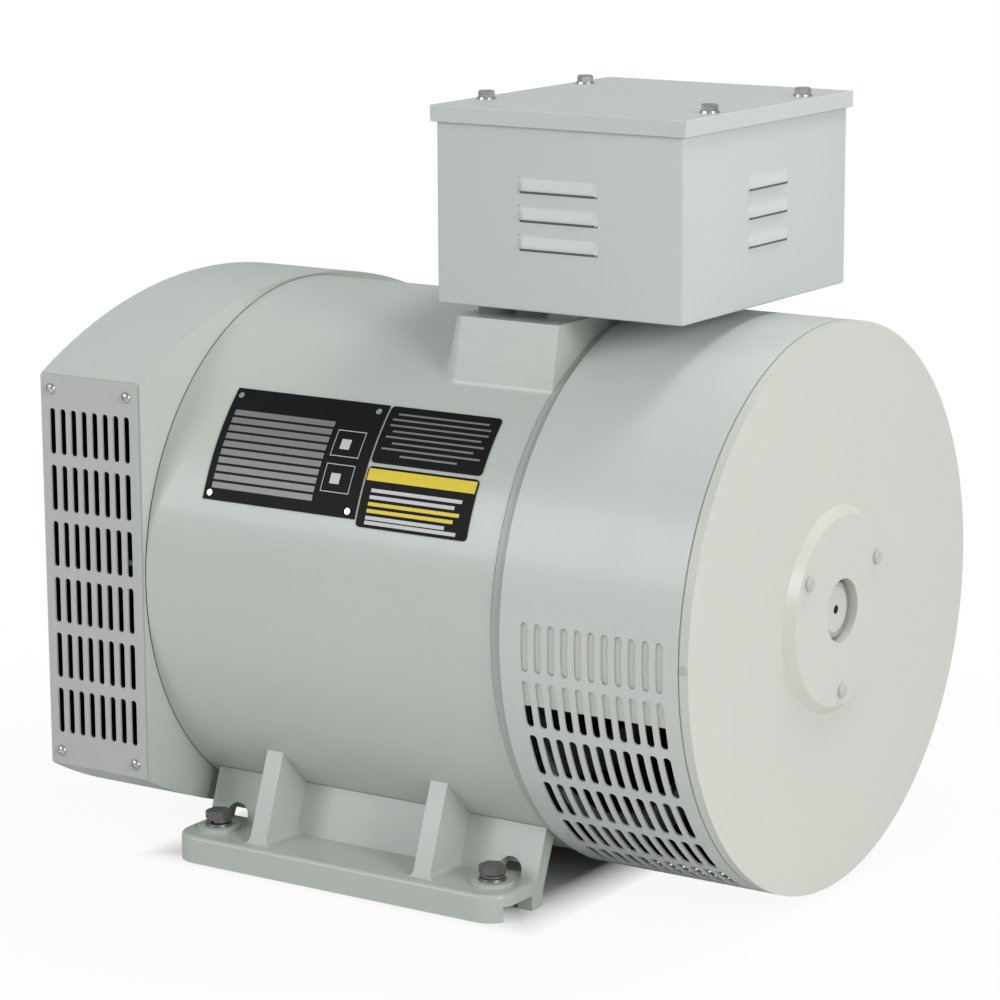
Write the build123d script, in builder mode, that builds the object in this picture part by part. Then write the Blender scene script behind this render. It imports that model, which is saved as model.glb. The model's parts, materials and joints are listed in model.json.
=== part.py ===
"""Generator alternator head: a foot-mounted, two-bearing, self-excited alternator with slip rings.

Millimetres. X runs along the shaft with the non-drive end at +X, Z is up, and the origin lies on the
base plane at the centre of the four foot bolts. Polar angles in a cross-section are measured from +Y
towards +Z, so 180 degrees is the near side (-Y) and 270 degrees is straight down.
"""

import os

from build123d import *

# ---- driving dimensions -------------------------------------------------------------------------
GAP = 0.3  # clearance between parts that don't touch

FRAME_R, FRAME_WALL, FRAME_LEN = 196.0, 11.0, 296.0  # cast stator frame
BARREL_CLEAR = 9.0  # height of the barrel over the base
FOOT_X, FOOT_INSET = 238.0, 36.0  # foot bolts along the shaft, and inside the barrel's widest line
FOOT_Y = 2 * (FRAME_R - FOOT_INSET)
SHAFT_Z = FRAME_R + BARREL_CLEAR
FRAME_X0 = -152.5
FRAME_X1 = FRAME_X0 + FRAME_LEN
RIB_COUNT, RIB_START, RIB_W, RIB_H = 4, 45.0, 16.0, 17.0  # axial ribs that hold the stack and take the end bolts
CORE_R = FRAME_R - FRAME_WALL - RIB_H  # stator lamination stack
CORE_DEPTH, CORE_LEN = 56.0, 160.0
CORE_BORE_R = CORE_R - CORE_DEPTH
CORE_X = (FRAME_X0 + FRAME_X1) / 2
RIB_BOLT_R = CORE_R + 9.0

FLANGE_T, FLANGE_R = 8.0, FRAME_R + 1.0  # ring between the frame and the slotted band
DRUM_STEP, DRUM_SHEET, BAND_LEN, FACE_T = 4.0, 1.5, 138.7, 7.3
DRUM_R = FRAME_R + DRUM_STEP  # slotted sheet band round the non-drive-end bracket
DRUM_X0 = FRAME_X1 + FLANGE_T
DRUM_X1 = DRUM_X0 + BAND_LEN
FACE_X = DRUM_X1 + FACE_T
BOSS_R, BOSS_H = 73.0, 6.0  # raised bearing boss on the end face
SLOT_COLS, SLOT_ROWS = 11, 16
SLOT_W, SLOT_LEN, SLOT_PITCH = 5.0, 34.0, 10.42
SLOT_FIRST, SLOT_STEP = 180.3, 11.6  # first row angle and row step
SLOT_X = (DRUM_X0 + DRUM_X1) / 2 + 2.45  # middle of the slot field

HOUSING_LEN = 89.5  # drive-end housing
HOUSING_X1 = FRAME_X0
HOUSING_X0 = HOUSING_X1 - HOUSING_LEN
HOUSING_Y, CROWN_Z, CROWN_R = FRAME_R + 1.0, FRAME_R + 1.5, 400.0  # flat sides; arched top and bottom
SIDE_H = 2 * (CROWN_Z - CROWN_R + (CROWN_R**2 - HOUSING_Y**2) ** 0.5)  # height of a flat side
GRILLE_T, GRILLE_LEN, GRILLE_H = 2.0, HOUSING_LEN - 1.5, SIDE_H - 2.25
GRILLE_X0 = HOUSING_X0
GRILLE_X1 = GRILLE_X0 + GRILLE_LEN
GRILLE_COLS, GRILLE_ROWS, GRILLE_SIDE, GRILLE_END = 8, 6, 5.2, 20.0  # slots and plain margins
GRILLE_PITCH_X = (GRILLE_LEN - 2 * GRILLE_SIDE) / GRILLE_COLS
GRILLE_PITCH_Z = (GRILLE_H - 2 * GRILLE_END) / GRILLE_ROWS
GRILLE_SLOT_W, GRILLE_SLOT_H = GRILLE_PITCH_X - 5.3, GRILLE_PITCH_Z - 8.0
GRILLE_SCREW_X, GRILLE_SCREW_Z = GRILLE_LEN - 19.0, GRILLE_H - 20.0

RAIL_H, RAIL_TOP, RAIL_SKIRT, RAIL_EDGE = 20.0, 9.0, 9.5, 3.0  # cast feet
RAIL_LEN, RAIL_OUT_Y = FOOT_X + 47.0, FOOT_Y / 2 + 27.0
WEB_FOOT_Y, WEB_T, WEB_LEAN = FOOT_Y / 2 - 20.0, 8.0, 13.0
GUSSET_X, GUSSET_T = FOOT_X - 96.0, 14.0

PAD_LEN, PAD_WID, PAD_RISE, PAD_DRAFT = 86.0, 224.0, 4.5, 11.0  # cast saddle under the terminal box
PAD_X0, PAD_TOP = FRAME_X1 - PAD_LEN, SHAFT_Z + FRAME_R + PAD_RISE
pad_x = PAD_X0 + PAD_LEN / 2
BOX_LEN, BOX_WID, BOX_H, SPACER_H = 196.0, 226.8, 135.1, 7.8  # terminal box
BOX_X = pad_x + 42.75
BOX_Z0 = PAD_TOP + SPACER_H
BOX_Z1 = BOX_Z0 + BOX_H
SHEET = 1.6
LID_LEN, LID_WID, LID_LIP, LID_T = BOX_LEN + 6.6, BOX_WID + 6.6, 11.4, 1.6
LID_BOLT_X, LID_BOLT_Y = BOX_LEN - 18.0, BOX_WID - 97.8
LOUVRE_Z = (BOX_Z0 + 42.7, BOX_Z0 + 62.3, BOX_Z0 + 81.9)
LOUVRE_NEAR, LOUVRE_END, LOUVRE_H, LOUVRE_OUT = 62.0, 56.0, 9.5, 4.0

SHAFT_END_R, SHAFT_END_LEN = 21.0, 110.0  # drive extension
SHAFT_END_X = HOUSING_X0 - 20.0 - SHAFT_END_LEN
DE_SEAT_R, CORE_SEAT_R, RING_SEAT_R, NDE_SEAT_R = 25.0, 32.0, 25.0, 20.0
AIR_GAP, POLES, POLE_W = 0.8, 4, 70.0
ROTOR_R = CORE_BORE_R - AIR_GAP
RING_R, RING_W, RING_XS = 45.0, 16.0, (DRUM_X0 + 12.5, DRUM_X0 + 46.5)  # slip rings
BRUSH_X, BRUSH_Y, BRUSH_H = 12.0, 22.0, 20.0

M10_HEAD_R, M10_HEAD_H, M10_R = 17.0 / 2 / 0.866, 6.4, 5.0
M8_HEAD_R, M8_HEAD_H, M8_R = 13.0 / 2 / 0.866, 5.3, 4.0
M6_HEAD_R, M6_HEAD_H, M6_R = 10.0 / 2 / 0.866, 4.0, 3.0
M4_HEAD_R, M4_HEAD_H, M4_R = 4.2, 2.6, 2.0

NEAR, FAR = -1, 1


# ---- planes and repeated shapes -----------------------------------------------------------------
def across(x):
    """Cross-section plane at x, centred on the shaft: local x is +Y, local y is +Z."""
    return Plane(origin=(x, 0, SHAFT_Z), x_dir=(0, 1, 0), z_dir=(1, 0, 0))


def radial(angle, x, r=0.0):
    """Plane that faces outwards at a polar angle, r from the shaft: local x is +X."""
    spoke = Vector(0, 1, 0).rotate(Axis.X, angle)
    return Plane(origin=Vector(x, 0, SHAFT_Z) + spoke * r, x_dir=(1, 0, 0), z_dir=spoke)


def ring(x0, x1, r_out, r_in=0.0, mode=Mode.ADD):
    """Turned ring or disc from x0 to x1 about the shaft."""
    with BuildSketch(across(x0)) as disc:
        Circle(r_out)
        if r_in:
            Circle(r_in, mode=Mode.SUBTRACT)
    extrude(disc.sketch, amount=x1 - x0, mode=mode)


def ring_of_holes(x0, x1, r_bolt, r_hole, count, start, mode=Mode.SUBTRACT):
    """Round holes, or round bars, along X on a bolt circle."""
    with BuildSketch(across(x0)) as rounds:
        with PolarLocations(r_bolt, count, start_angle=start):
            Circle(r_hole)
    extrude(rounds.sketch, amount=x1 - x0, mode=mode)


def axial_bolts(x_head, way, r_bolt, count, start, r, r_head, h_head, length):
    """Hexagon bolts along X, head outside x_head; way is +1 where the head looks to +X."""
    with BuildSketch(across(x_head)) as heads:
        with PolarLocations(r_bolt, count, start_angle=start):
            RegularPolygon(r_head, 6)
    extrude(heads.sketch, amount=way * h_head)
    ring_of_holes(x_head - way * length, x_head + way * h_head / 2, r_bolt, r, count, start, Mode.ADD)


def stepped_pins(plane, places, steps):
    """Round pins at places of a plane, each step (radius, from, to) along its normal."""
    for r, low, high in steps:
        with BuildSketch(plane.offset(low)) as rounds:
            with Locations(*places):
                Circle(r)
        extrude(rounds.sketch, amount=high - low)


def hex_heads(plane, places, r, height):
    """Hexagon heads or nuts standing on a plane."""
    with BuildSketch(plane) as heads:
        with Locations(*places):
            RegularPolygon(r, 6)
    extrude(heads.sketch, amount=height)


def finish(part, name):
    part.label = name
    export_step(part, f"parts/{name}.step")


os.makedirs("parts", exist_ok=True)
foot_places = [(x * FOOT_X / 2, y * FOOT_Y / 2) for x in (-1, 1) for y in (-1, 1)]

# ---- stator frame: barrel, ribs, feet, gussets and terminal-box saddle in one casting -----------
BOSS_PAD_R, BOSS_PAD_H = 15.0, 3.0  # raised seat round each foot bolt
CORNER_R, CREASE_R, SADDLE_R = 20.0, 5.0, 8.0  # foot corners in plan, foot of a gusset and of the saddle
web_head_y, gusset_head_y = WEB_FOOT_Y - WEB_LEAN, FOOT_Y / 2 - 6
web_head_z = SHAFT_Z - (FRAME_R**2 - web_head_y**2) ** 0.5
gusset_head_z = SHAFT_Z - (FRAME_R**2 - gusset_head_y**2) ** 0.5
pad_bolts = [(pad_x + x * (PAD_LEN / 2 - 15), y * (PAD_WID / 2 - 32)) for x in (-1, 1) for y in (-1, 1)]

with BuildPart() as stator_frame:
    # Feet: web, top plate and outer skirt in one profile, mirrored, with rounded outer corners.
    for side in (NEAR, FAR):
        with BuildSketch(Plane(origin=(-RAIL_LEN / 2, 0, 0), x_dir=(0, 1, 0), z_dir=(1, 0, 0))):
            with BuildLine():
                Polyline(
                    (side * web_head_y, web_head_z - 0.7),
                    (side * WEB_FOOT_Y, RAIL_H),
                    (side * RAIL_OUT_Y, RAIL_H),
                    (side * RAIL_OUT_Y, 0),
                    (side * (RAIL_OUT_Y - RAIL_SKIRT), 0),
                    (side * (RAIL_OUT_Y - RAIL_SKIRT), RAIL_H - RAIL_TOP),
                    (side * (WEB_FOOT_Y - WEB_T), RAIL_H - RAIL_TOP),
                    (side * (web_head_y - 1.6 * WEB_T), web_head_z - 0.7),
                    close=True,
                )
            make_face()
        extrude(amount=RAIL_LEN)
        # Short inner pads at the rail ends, level with the skirt.
        with BuildSketch(Plane.XY):
            with Locations(*[(x * (RAIL_LEN / 2 - 6), side * (WEB_FOOT_Y - 1)) for x in (-1, 1)]):
                Rectangle(12, 14)
        extrude(amount=RAIL_H - RAIL_TOP)
    with BuildSketch(Plane.XY):
        for x in (-1, 1):
            for y in (-1, 1):
                with Locations((x * (RAIL_LEN - CORNER_R) / 2, y * (RAIL_OUT_Y - CORNER_R / 2))):
                    Rectangle(CORNER_R, CORNER_R)
                with Locations((x * (RAIL_LEN / 2 - CORNER_R), y * (RAIL_OUT_Y - CORNER_R))):
                    Circle(CORNER_R, mode=Mode.SUBTRACT)
    extrude(amount=RAIL_H, mode=Mode.SUBTRACT)
    rims = stator_frame.edges().filter_by_position(Axis.Z, RAIL_H - 0.1, RAIL_H + 0.1)
    fillet([e for e in rims if abs(e.center().Y) > WEB_FOOT_Y + 5], RAIL_EDGE)
    # Gussets from the top plate up to the barrel.
    for side in (NEAR, FAR):
        for x in (-GUSSET_X / 2, GUSSET_X / 2):
            with BuildSketch(Plane(origin=(x - GUSSET_T / 2, 0, 0), x_dir=(0, 1, 0), z_dir=(1, 0, 0))):
                with BuildLine():
                    Polyline(
                        (side * gusset_head_y, gusset_head_z),
                        (side * (FOOT_Y / 2 + 18), RAIL_H),
                        (side * (WEB_FOOT_Y - 2), RAIL_H),
                        (side * (web_head_y - 5), web_head_z + 8),
                        close=True,
                    )
                make_face()
            extrude(amount=GUSSET_T)
    creases = stator_frame.edges().filter_by_position(Axis.Z, RAIL_H - 0.1, RAIL_H + 0.1)
    creases = [e for e in creases if abs(abs(e.center().X) - GUSSET_X / 2) < GUSSET_T]
    fillet([e for e in creases if abs((e @ 0).X - (e @ 1).X) < 0.1], CREASE_R)
    ring(FRAME_X0, FRAME_X1, FRAME_R)
    # The saddle widens downwards and is cut flush with the end of the frame.
    with BuildSketch(Plane.XY.offset(PAD_TOP)):
        with Locations((PAD_X0 + PAD_LEN, 0)):
            RectangleRounded(2 * PAD_LEN, PAD_WID, 7)
    extrude(amount=-FRAME_R / 2, taper=-PAD_DRAFT)
    with BuildSketch(across(FRAME_X1)):
        Rectangle(2.2 * FRAME_R, 2.2 * FRAME_R)
    extrude(amount=2 * PAD_LEN, mode=Mode.SUBTRACT)
    foot_line = [
        e for e in stator_frame.edges()
        if e.center().Z > SHAFT_Z + FRAME_R / 2 and FRAME_X0 + 1 < e.center().X < FRAME_X1 - 1
        and all(abs(((e @ t).Y ** 2 + ((e @ t).Z - SHAFT_Z) ** 2) ** 0.5 - FRAME_R) < 0.1 for t in (0.1, 0.5, 0.9))
    ]
    fillet(foot_line, SADDLE_R)
    with BuildSketch(Plane.XY.offset(RAIL_H)):
        with Locations(*foot_places):
            Circle(BOSS_PAD_R)
    extrude(amount=BOSS_PAD_H)
    # Bore, then the axial ribs that reach in to the lamination stack.
    ring(FRAME_X0, FRAME_X1, FRAME_R - FRAME_WALL, mode=Mode.SUBTRACT)
    with BuildSketch(across(FRAME_X0)):
        with PolarLocations(CORE_R + RIB_H / 2, RIB_COUNT, start_angle=RIB_START):
            Rectangle(RIB_H + FRAME_WALL, RIB_W)
        Circle(CORE_R, mode=Mode.SUBTRACT)
    extrude(amount=FRAME_X1 - FRAME_X0)
    for x, way in ((FRAME_X0, 1), (FRAME_X1, -1)):
        ring_of_holes(x, x + way * 22, RIB_BOLT_R, M8_R + GAP, RIB_COUNT, RIB_START)
    # Foot holes, spanner reliefs through the web behind them, and saddle holes.
    RELIEF_W, RELIEF_TOP = 20.0, RAIL_H + 13.0
    for side in (NEAR, FAR):
        with BuildSketch(Plane.XZ.offset(-side * (WEB_FOOT_Y - 14))):
            with Locations(*[(x * FOOT_X / 2, 0) for x in (-1, 1)]):
                with Locations((0, RELIEF_TOP - RELIEF_W / 2)):
                    Circle(RELIEF_W / 2)
                with Locations((0, (RAIL_H + RELIEF_TOP - RELIEF_W / 2) / 2)):
                    Rectangle(RELIEF_W, RELIEF_TOP - RELIEF_W / 2 - RAIL_H)
            with Locations((0, RAIL_H / 2)):
                Rectangle(RAIL_LEN, RAIL_H, mode=Mode.SUBTRACT)
        extrude(amount=-side * 15, mode=Mode.SUBTRACT)
    with BuildSketch(Plane.XY):
        with Locations(*foot_places):
            Circle(M10_R + 0.75)
    extrude(amount=RAIL_H + BOSS_PAD_H, mode=Mode.SUBTRACT)
    with BuildSketch(Plane.XY.offset(PAD_TOP)):
        with Locations(*pad_bolts):
            Circle(M8_R + GAP)
    extrude(amount=-16, mode=Mode.SUBTRACT)
finish(stator_frame.part, "stator_frame")

# ---- foot bolts with plain washers, spring washers and nuts -------------------------------------
WASHER_H, SPRING_H, NUT_H = 2.0, 2.5, 8.0
seat_z = RAIL_H + BOSS_PAD_H
head_z = seat_z + WASHER_H + SPRING_H
with BuildPart() as foot_washers:
    with BuildSketch(Plane.XY.offset(seat_z)):
        with Locations(*foot_places):
            Circle(10)
            Circle(M10_R + GAP, mode=Mode.SUBTRACT)
    extrude(amount=WASHER_H)
finish(foot_washers.part, "foot_washers")

with BuildPart() as foot_spring_washers:
    with BuildSketch(Plane.XY.offset(seat_z + WASHER_H)):
        with Locations(*foot_places):
            Circle(9)
            Circle(M10_R + GAP, mode=Mode.SUBTRACT)
    extrude(amount=SPRING_H)
finish(foot_spring_washers.part, "foot_spring_washers")

with BuildPart() as foot_bolts:
    hex_heads(Plane.XY.offset(head_z), foot_places, M10_HEAD_R, M10_HEAD_H)
    stepped_pins(Plane.XY, foot_places, [(M10_R, 1.5, head_z + 1)])
finish(foot_bolts.part, "foot_bolts")

with BuildPart() as foot_nuts:
    with BuildSketch(Plane.XY.offset(RAIL_H - RAIL_TOP - NUT_H)):
        with Locations(*foot_places):
            RegularPolygon(M10_HEAD_R, 6)
            Circle(M10_R, mode=Mode.SUBTRACT)
    extrude(amount=NUT_H)
finish(foot_nuts.part, "foot_nuts")

# ---- stator stack and windings ------------------------------------------------------------------
SLOTS, SLOT_DEPTH, TOOTH_SLOT_W = 36, 26.0, 8.0
core_x0, core_x1 = CORE_X - CORE_LEN / 2, CORE_X + CORE_LEN / 2
with BuildPart() as stator_core:
    with BuildSketch(across(core_x0)):
        Circle(CORE_R)
        Circle(CORE_BORE_R, mode=Mode.SUBTRACT)
        with PolarLocations(CORE_BORE_R + SLOT_DEPTH / 2 - 1, SLOTS):
            Rectangle(SLOT_DEPTH + 2, TOOTH_SLOT_W, mode=Mode.SUBTRACT)
    extrude(amount=CORE_LEN)
finish(stator_core.part, "stator_core")

END_TURN = 38.0
coil_r_in, coil_r_out = CORE_BORE_R + 1.5, CORE_R - 18.0
bar_r_out = CORE_BORE_R + SLOT_DEPTH - GAP
with BuildPart() as stator_windings:
    for x in (core_x0 - END_TURN, core_x1 + 0.5):
        ring(x, x + END_TURN - 0.5, coil_r_out, coil_r_in)
    chamfer(stator_windings.edges().group_by(Axis.X)[0], 6)
    chamfer(stator_windings.edges().group_by(Axis.X)[-1], 6)
    with BuildSketch(across(core_x0 - 2)):
        with PolarLocations((coil_r_in + 1 + bar_r_out) / 2, SLOTS):
            Rectangle(bar_r_out - coil_r_in - 1, TOOTH_SLOT_W - 2 * GAP)
    extrude(amount=CORE_LEN + 4)
finish(stator_windings.part, "stator_windings")

# ---- non-drive-end bracket ----------------------------------------------------------------------
BARREL_R, BARREL_WALL, FLANGE_BORE = DRUM_R - DRUM_SHEET - GAP, 8.0, RIB_BOLT_R - 11.0
PLATE_X0, HUB_R, HUB_X0 = FACE_X - 10.5, 66.0, FACE_X - 43.5
WINDOW_X0, WINDOW_X1, WINDOW_DROP, WINDOW_RIB = DRUM_X0 + 19.5, PLATE_X0 - 6.0, 12.3, 6.0
NDE_BEARING_R, NDE_BEARING_X0, NDE_BEARING_W = 45.0, HUB_X0 + 14.0, 23.0
CAP_SCREW_R, CAP_SCREW_START, SHAFT_HOLE_R = NDE_BEARING_R + 12.0, 30.0, NDE_SEAT_R + 2.5
boss_x = FACE_X + BOSS_H
BRUSH_SLIDE, HOLDER_T = GAP, 1.8  # clearance of a brush in its holder each side, and the holder's wall
BOARD_T, BOARD_Y = 6.0, BRUSH_Y / 2 + BRUSH_SLIDE + HOLDER_T  # board that carries the brush holders
LUG_X0, LUG_W, LUG_Z0, LUG_H = HUB_X0 - 14.0, 16.0, SHAFT_Z + HUB_R + 4.0, 26.0
BOARD_SCREW_R = 2.5
board_screws_at = [(LUG_X0 + 12 + 22 * i, LUG_Z0 + LUG_H / 2) for i in range(2)]
with BuildPart() as nde_bracket:
    ring(FRAME_X1, DRUM_X0, FLANGE_R, FLANGE_BORE)
    ring(DRUM_X0, PLATE_X0, BARREL_R, BARREL_R - BARREL_WALL)
    ring(PLATE_X0, DRUM_X1, BARREL_R)
    ring(DRUM_X1, FACE_X, DRUM_R)
    ring(FACE_X, boss_x, BOSS_R)
    chamfer(nde_bracket.edges().group_by(Axis.X)[-1], BOSS_H - 0.1)
    ring(HUB_X0, PLATE_X0, HUB_R)
    with BuildSketch(across(HUB_X0 + 8)):
        with PolarLocations((HUB_R + BARREL_R) / 2 - 4, RIB_COUNT, start_angle=RIB_START):
            Rectangle(BARREL_R - HUB_R, 8)
    extrude(amount=PLATE_X0 - HUB_X0 - 8)
    # Two air windows, left and right of a rib straight below the shaft.
    window_arc = 90 - WINDOW_DROP - WINDOW_RIB
    for start in (180 + WINDOW_DROP, 270 + WINDOW_RIB):
        with BuildSketch(across(WINDOW_X0)):
            with BuildLine():
                inner = CenterArc((0, 0), BARREL_R - BARREL_WALL - 2, start, window_arc)
                outer = CenterArc((0, 0), BARREL_R + 2, start, window_arc)
                Line(inner @ 0, outer @ 0)
                Line(inner @ 1, outer @ 1)
            make_face()
        extrude(amount=WINDOW_X1 - WINDOW_X0, mode=Mode.SUBTRACT)
    # Lug above the hub that carries the brush board.
    with BuildSketch(Plane.XY.offset(LUG_Z0)):
        with Locations(((LUG_X0 + PLATE_X0) / 2, BOARD_Y + BOARD_T + LUG_W / 2)):
            Rectangle(PLATE_X0 - LUG_X0, LUG_W)
    extrude(amount=LUG_H)
    with BuildSketch(Plane.XZ.offset(-BOARD_Y)):
        with Locations(*board_screws_at):
            Circle(BOARD_SCREW_R)
    extrude(amount=-18, mode=Mode.SUBTRACT)
    ring(HUB_X0, NDE_BEARING_X0 + NDE_BEARING_W, NDE_BEARING_R, mode=Mode.SUBTRACT)
    ring(HUB_X0, boss_x, SHAFT_HOLE_R, mode=Mode.SUBTRACT)
    ring_of_holes(HUB_X0, boss_x, CAP_SCREW_R, M6_R + GAP, 3, CAP_SCREW_START)
    ring_of_holes(FRAME_X1, DRUM_X0, RIB_BOLT_R, M8_R + GAP, RIB_COUNT, RIB_START)
    for angle in (0, 180):
        with BuildSketch(radial(angle, (DRUM_X1 + FACE_X) / 2, DRUM_R - 6)):
            Circle(1.5)
        extrude(amount=7, mode=Mode.SUBTRACT)
finish(nde_bracket.part, "nde_bracket")

with BuildPart() as nde_bracket_bolts:
    axial_bolts(DRUM_X0, 1, RIB_BOLT_R, RIB_COUNT, RIB_START, M8_R, M8_HEAD_R, M8_HEAD_H, 24)
finish(nde_bracket_bolts.part, "nde_bracket_bolts")

# The slotted band is closed by a seam screw on the near side.
with BuildPart() as slotted_band:
    ring(DRUM_X0, DRUM_X1, DRUM_R, DRUM_R - DRUM_SHEET)
    for row in range(SLOT_ROWS):
        with BuildSketch(radial(SLOT_FIRST + row * SLOT_STEP, SLOT_X, DRUM_R - 6)):
            with GridLocations(SLOT_PITCH, 0, SLOT_COLS, 1):
                Rectangle(SLOT_W, SLOT_LEN)
        extrude(amount=10, mode=Mode.SUBTRACT)
finish(slotted_band.part, "slotted_band")

with BuildPart() as rim_screws:
    for angle in (0, 180):
        rim = radial(angle, (DRUM_X1 + FACE_X) / 2, DRUM_R)
        stepped_pins(rim, [(0, 0)], [(1.5, -6, 0), (2.6, 0, 0.9)])
finish(rim_screws.part, "rim_screws")

# ---- non-drive-end bearing, its inner cap and three cap screws ----------------------------------
SHIELD = 2.0


def bearing_outer(x0, width, r_out, r_race, r_shield):
    """Outer ring with a closing shield at each side."""
    ring(x0, x0 + width, r_out, r_race)
    for x in (x0 + 0.5, x0 + width - 0.5 - SHIELD):
        ring(x, x + SHIELD, r_race + 0.5, r_shield)


NDE_RACE_R, NDE_INNER_R = NDE_BEARING_R - 6.5, NDE_SEAT_R + 7.0
with BuildPart() as nde_bearing_outer:
    bearing_outer(NDE_BEARING_X0, NDE_BEARING_W, NDE_BEARING_R, NDE_RACE_R, NDE_INNER_R + GAP)
finish(nde_bearing_outer.part, "nde_bearing_outer")

with BuildPart() as nde_bearing_inner:
    ring(NDE_BEARING_X0, NDE_BEARING_X0 + NDE_BEARING_W, NDE_INNER_R, NDE_SEAT_R)
finish(nde_bearing_inner.part, "nde_bearing_inner")

CAP_T = 10.0
with BuildPart() as bearing_cap:
    ring(HUB_X0 - CAP_T, HUB_X0, HUB_R, RING_SEAT_R + 1)
    ring(HUB_X0, NDE_BEARING_X0, NDE_BEARING_R - GAP, NDE_RACE_R)
    ring_of_holes(HUB_X0 - CAP_T, HUB_X0, CAP_SCREW_R, M6_R, 3, CAP_SCREW_START)
finish(bearing_cap.part, "bearing_cap")

CAP_HEAD_R, CAP_HEAD_H = 5.2, 3.0
with BuildPart() as bearing_cap_screws:
    ring_of_holes(HUB_X0 - CAP_T, boss_x + 1, CAP_SCREW_R, M6_R, 3, CAP_SCREW_START, Mode.ADD)
    ring_of_holes(boss_x, boss_x + CAP_HEAD_H, CAP_SCREW_R, CAP_HEAD_R, 3, CAP_SCREW_START, Mode.ADD)
    chamfer(bearing_cap_screws.edges().group_by(Axis.X)[-1], 1.2)
finish(bearing_cap_screws.part, "bearing_cap_screws")

# ---- drive-end housing --------------------------------------------------------------------------
HOUSING_WALL, REAR_WALL, FRONT_WALL, REAR_BORE = 8.0, 8.0, 10.0, RIB_BOLT_R - 13.0
DE_BEARING_R, DE_BEARING_W = 55.0, 27.0
DE_RACE_R, DE_INNER_R = DE_BEARING_R - 7.5, DE_SEAT_R + 8.0
DE_HUB_R, DE_HUB_X0 = DE_BEARING_R + 15.0, HOUSING_X0 - 8.0
DE_HUB_X1 = DE_HUB_X0 + 42.0
DE_BEARING_X0 = DE_HUB_X0 + 7.0
DE_CAP_T, DE_CAP_SCREW_R, DE_CAP_SCREWS = 7.0, DE_BEARING_R + 7.0, 4
WINDOW_W, WINDOW_H = GRILLE_LEN - 12.0, GRILLE_H - 43.0


def housing_block(x0, x1, inset=0.0, mode=Mode.ADD):
    """Block with arched top and bottom between flat sides."""
    crown, half_y, r = CROWN_Z - inset, HOUSING_Y - inset, CROWN_R - inset
    corner = crown - r + (r**2 - half_y**2) ** 0.5
    with BuildSketch(across(x0)) as outline:
        with BuildLine():
            ThreePointArc((-half_y, corner), (0, crown), (half_y, corner))
            Line((half_y, corner), (half_y, -corner))
            ThreePointArc((half_y, -corner), (0, -crown), (-half_y, -corner))
            Line((-half_y, -corner), (-half_y, corner))
        make_face()
    extrude(outline.sketch, amount=x1 - x0, mode=mode)


def side_plane(side):
    """Outward plane on a flat side of the housing: local x is along the shaft, local y is up."""
    return Plane(origin=(0, side * HOUSING_Y, SHAFT_Z), x_dir=(-side, 0, 0), z_dir=(0, side, 0))


grille_x = (GRILLE_X0 + GRILLE_X1) / 2
grille_screws_at = [
    (grille_x + x * GRILLE_SCREW_X / 2, z * GRILLE_SCREW_Z / 2) for x in (-1, 1) for z in (-1, 1)
]
with BuildPart() as drive_housing:
    housing_block(HOUSING_X0, HOUSING_X1)
    housing_block(HOUSING_X0 + FRONT_WALL, HOUSING_X1 - REAR_WALL, HOUSING_WALL, Mode.SUBTRACT)
    ring(HOUSING_X1 - REAR_WALL, HOUSING_X1, REAR_BORE, mode=Mode.SUBTRACT)
    ring(DE_HUB_X0, DE_HUB_X1, DE_HUB_R)
    with BuildSketch(across(HOUSING_X0 + FRONT_WALL)):
        with PolarLocations((DE_HUB_R + REAR_BORE) / 2, RIB_COUNT, start_angle=RIB_START):
            Rectangle(REAR_BORE - DE_HUB_R + 12, 7)
    extrude(amount=16)
    # Air windows in the flat sides, with tapped holes for the grille screws.
    for side in (NEAR, FAR):
        with BuildSketch(side_plane(side)):
            with Locations((-side * grille_x, 0)):
                Rectangle(WINDOW_W, WINDOW_H)
            with Locations(*[(-side * x, z) for x, z in grille_screws_at]):
                Circle(M4_R)
        extrude(amount=-HOUSING_WALL - 4, mode=Mode.SUBTRACT)
    ring(DE_HUB_X0, DE_BEARING_X0 + DE_BEARING_W, DE_BEARING_R, mode=Mode.SUBTRACT)
    ring(DE_HUB_X0, DE_HUB_X1, DE_BEARING_R - 10, mode=Mode.SUBTRACT)
    ring_of_holes(HOUSING_X1 - REAR_WALL, HOUSING_X1, RIB_BOLT_R, M8_R + GAP, RIB_COUNT, RIB_START)
    ring_of_holes(DE_HUB_X0, DE_HUB_X0 + 16, DE_CAP_SCREW_R, M6_R + GAP, DE_CAP_SCREWS, 45)
finish(drive_housing.part, "drive_housing")

with BuildPart() as housing_bolts:
    rear_wall_x = HOUSING_X1 - REAR_WALL
    axial_bolts(rear_wall_x, -1, RIB_BOLT_R, RIB_COUNT, RIB_START, M8_R, M8_HEAD_R, M8_HEAD_H, 26)
finish(housing_bolts.part, "housing_bolts")

for side, name in ((NEAR, "near"), (FAR, "far")):
    with BuildPart() as grille:
        with BuildSketch(side_plane(side)):
            with Locations((-side * grille_x, 0)):
                Rectangle(GRILLE_X1 - GRILLE_X0, GRILLE_H)
                with GridLocations(GRILLE_PITCH_X, GRILLE_PITCH_Z, GRILLE_COLS, GRILLE_ROWS):
                    Rectangle(GRILLE_SLOT_W, GRILLE_SLOT_H, mode=Mode.SUBTRACT)
            with Locations(*[(-side * x, z) for x, z in grille_screws_at]):
                Circle(M4_R + 0.2, mode=Mode.SUBTRACT)
        extrude(amount=GRILLE_T)
    finish(grille.part, f"grille_plate_{name}")

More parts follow.
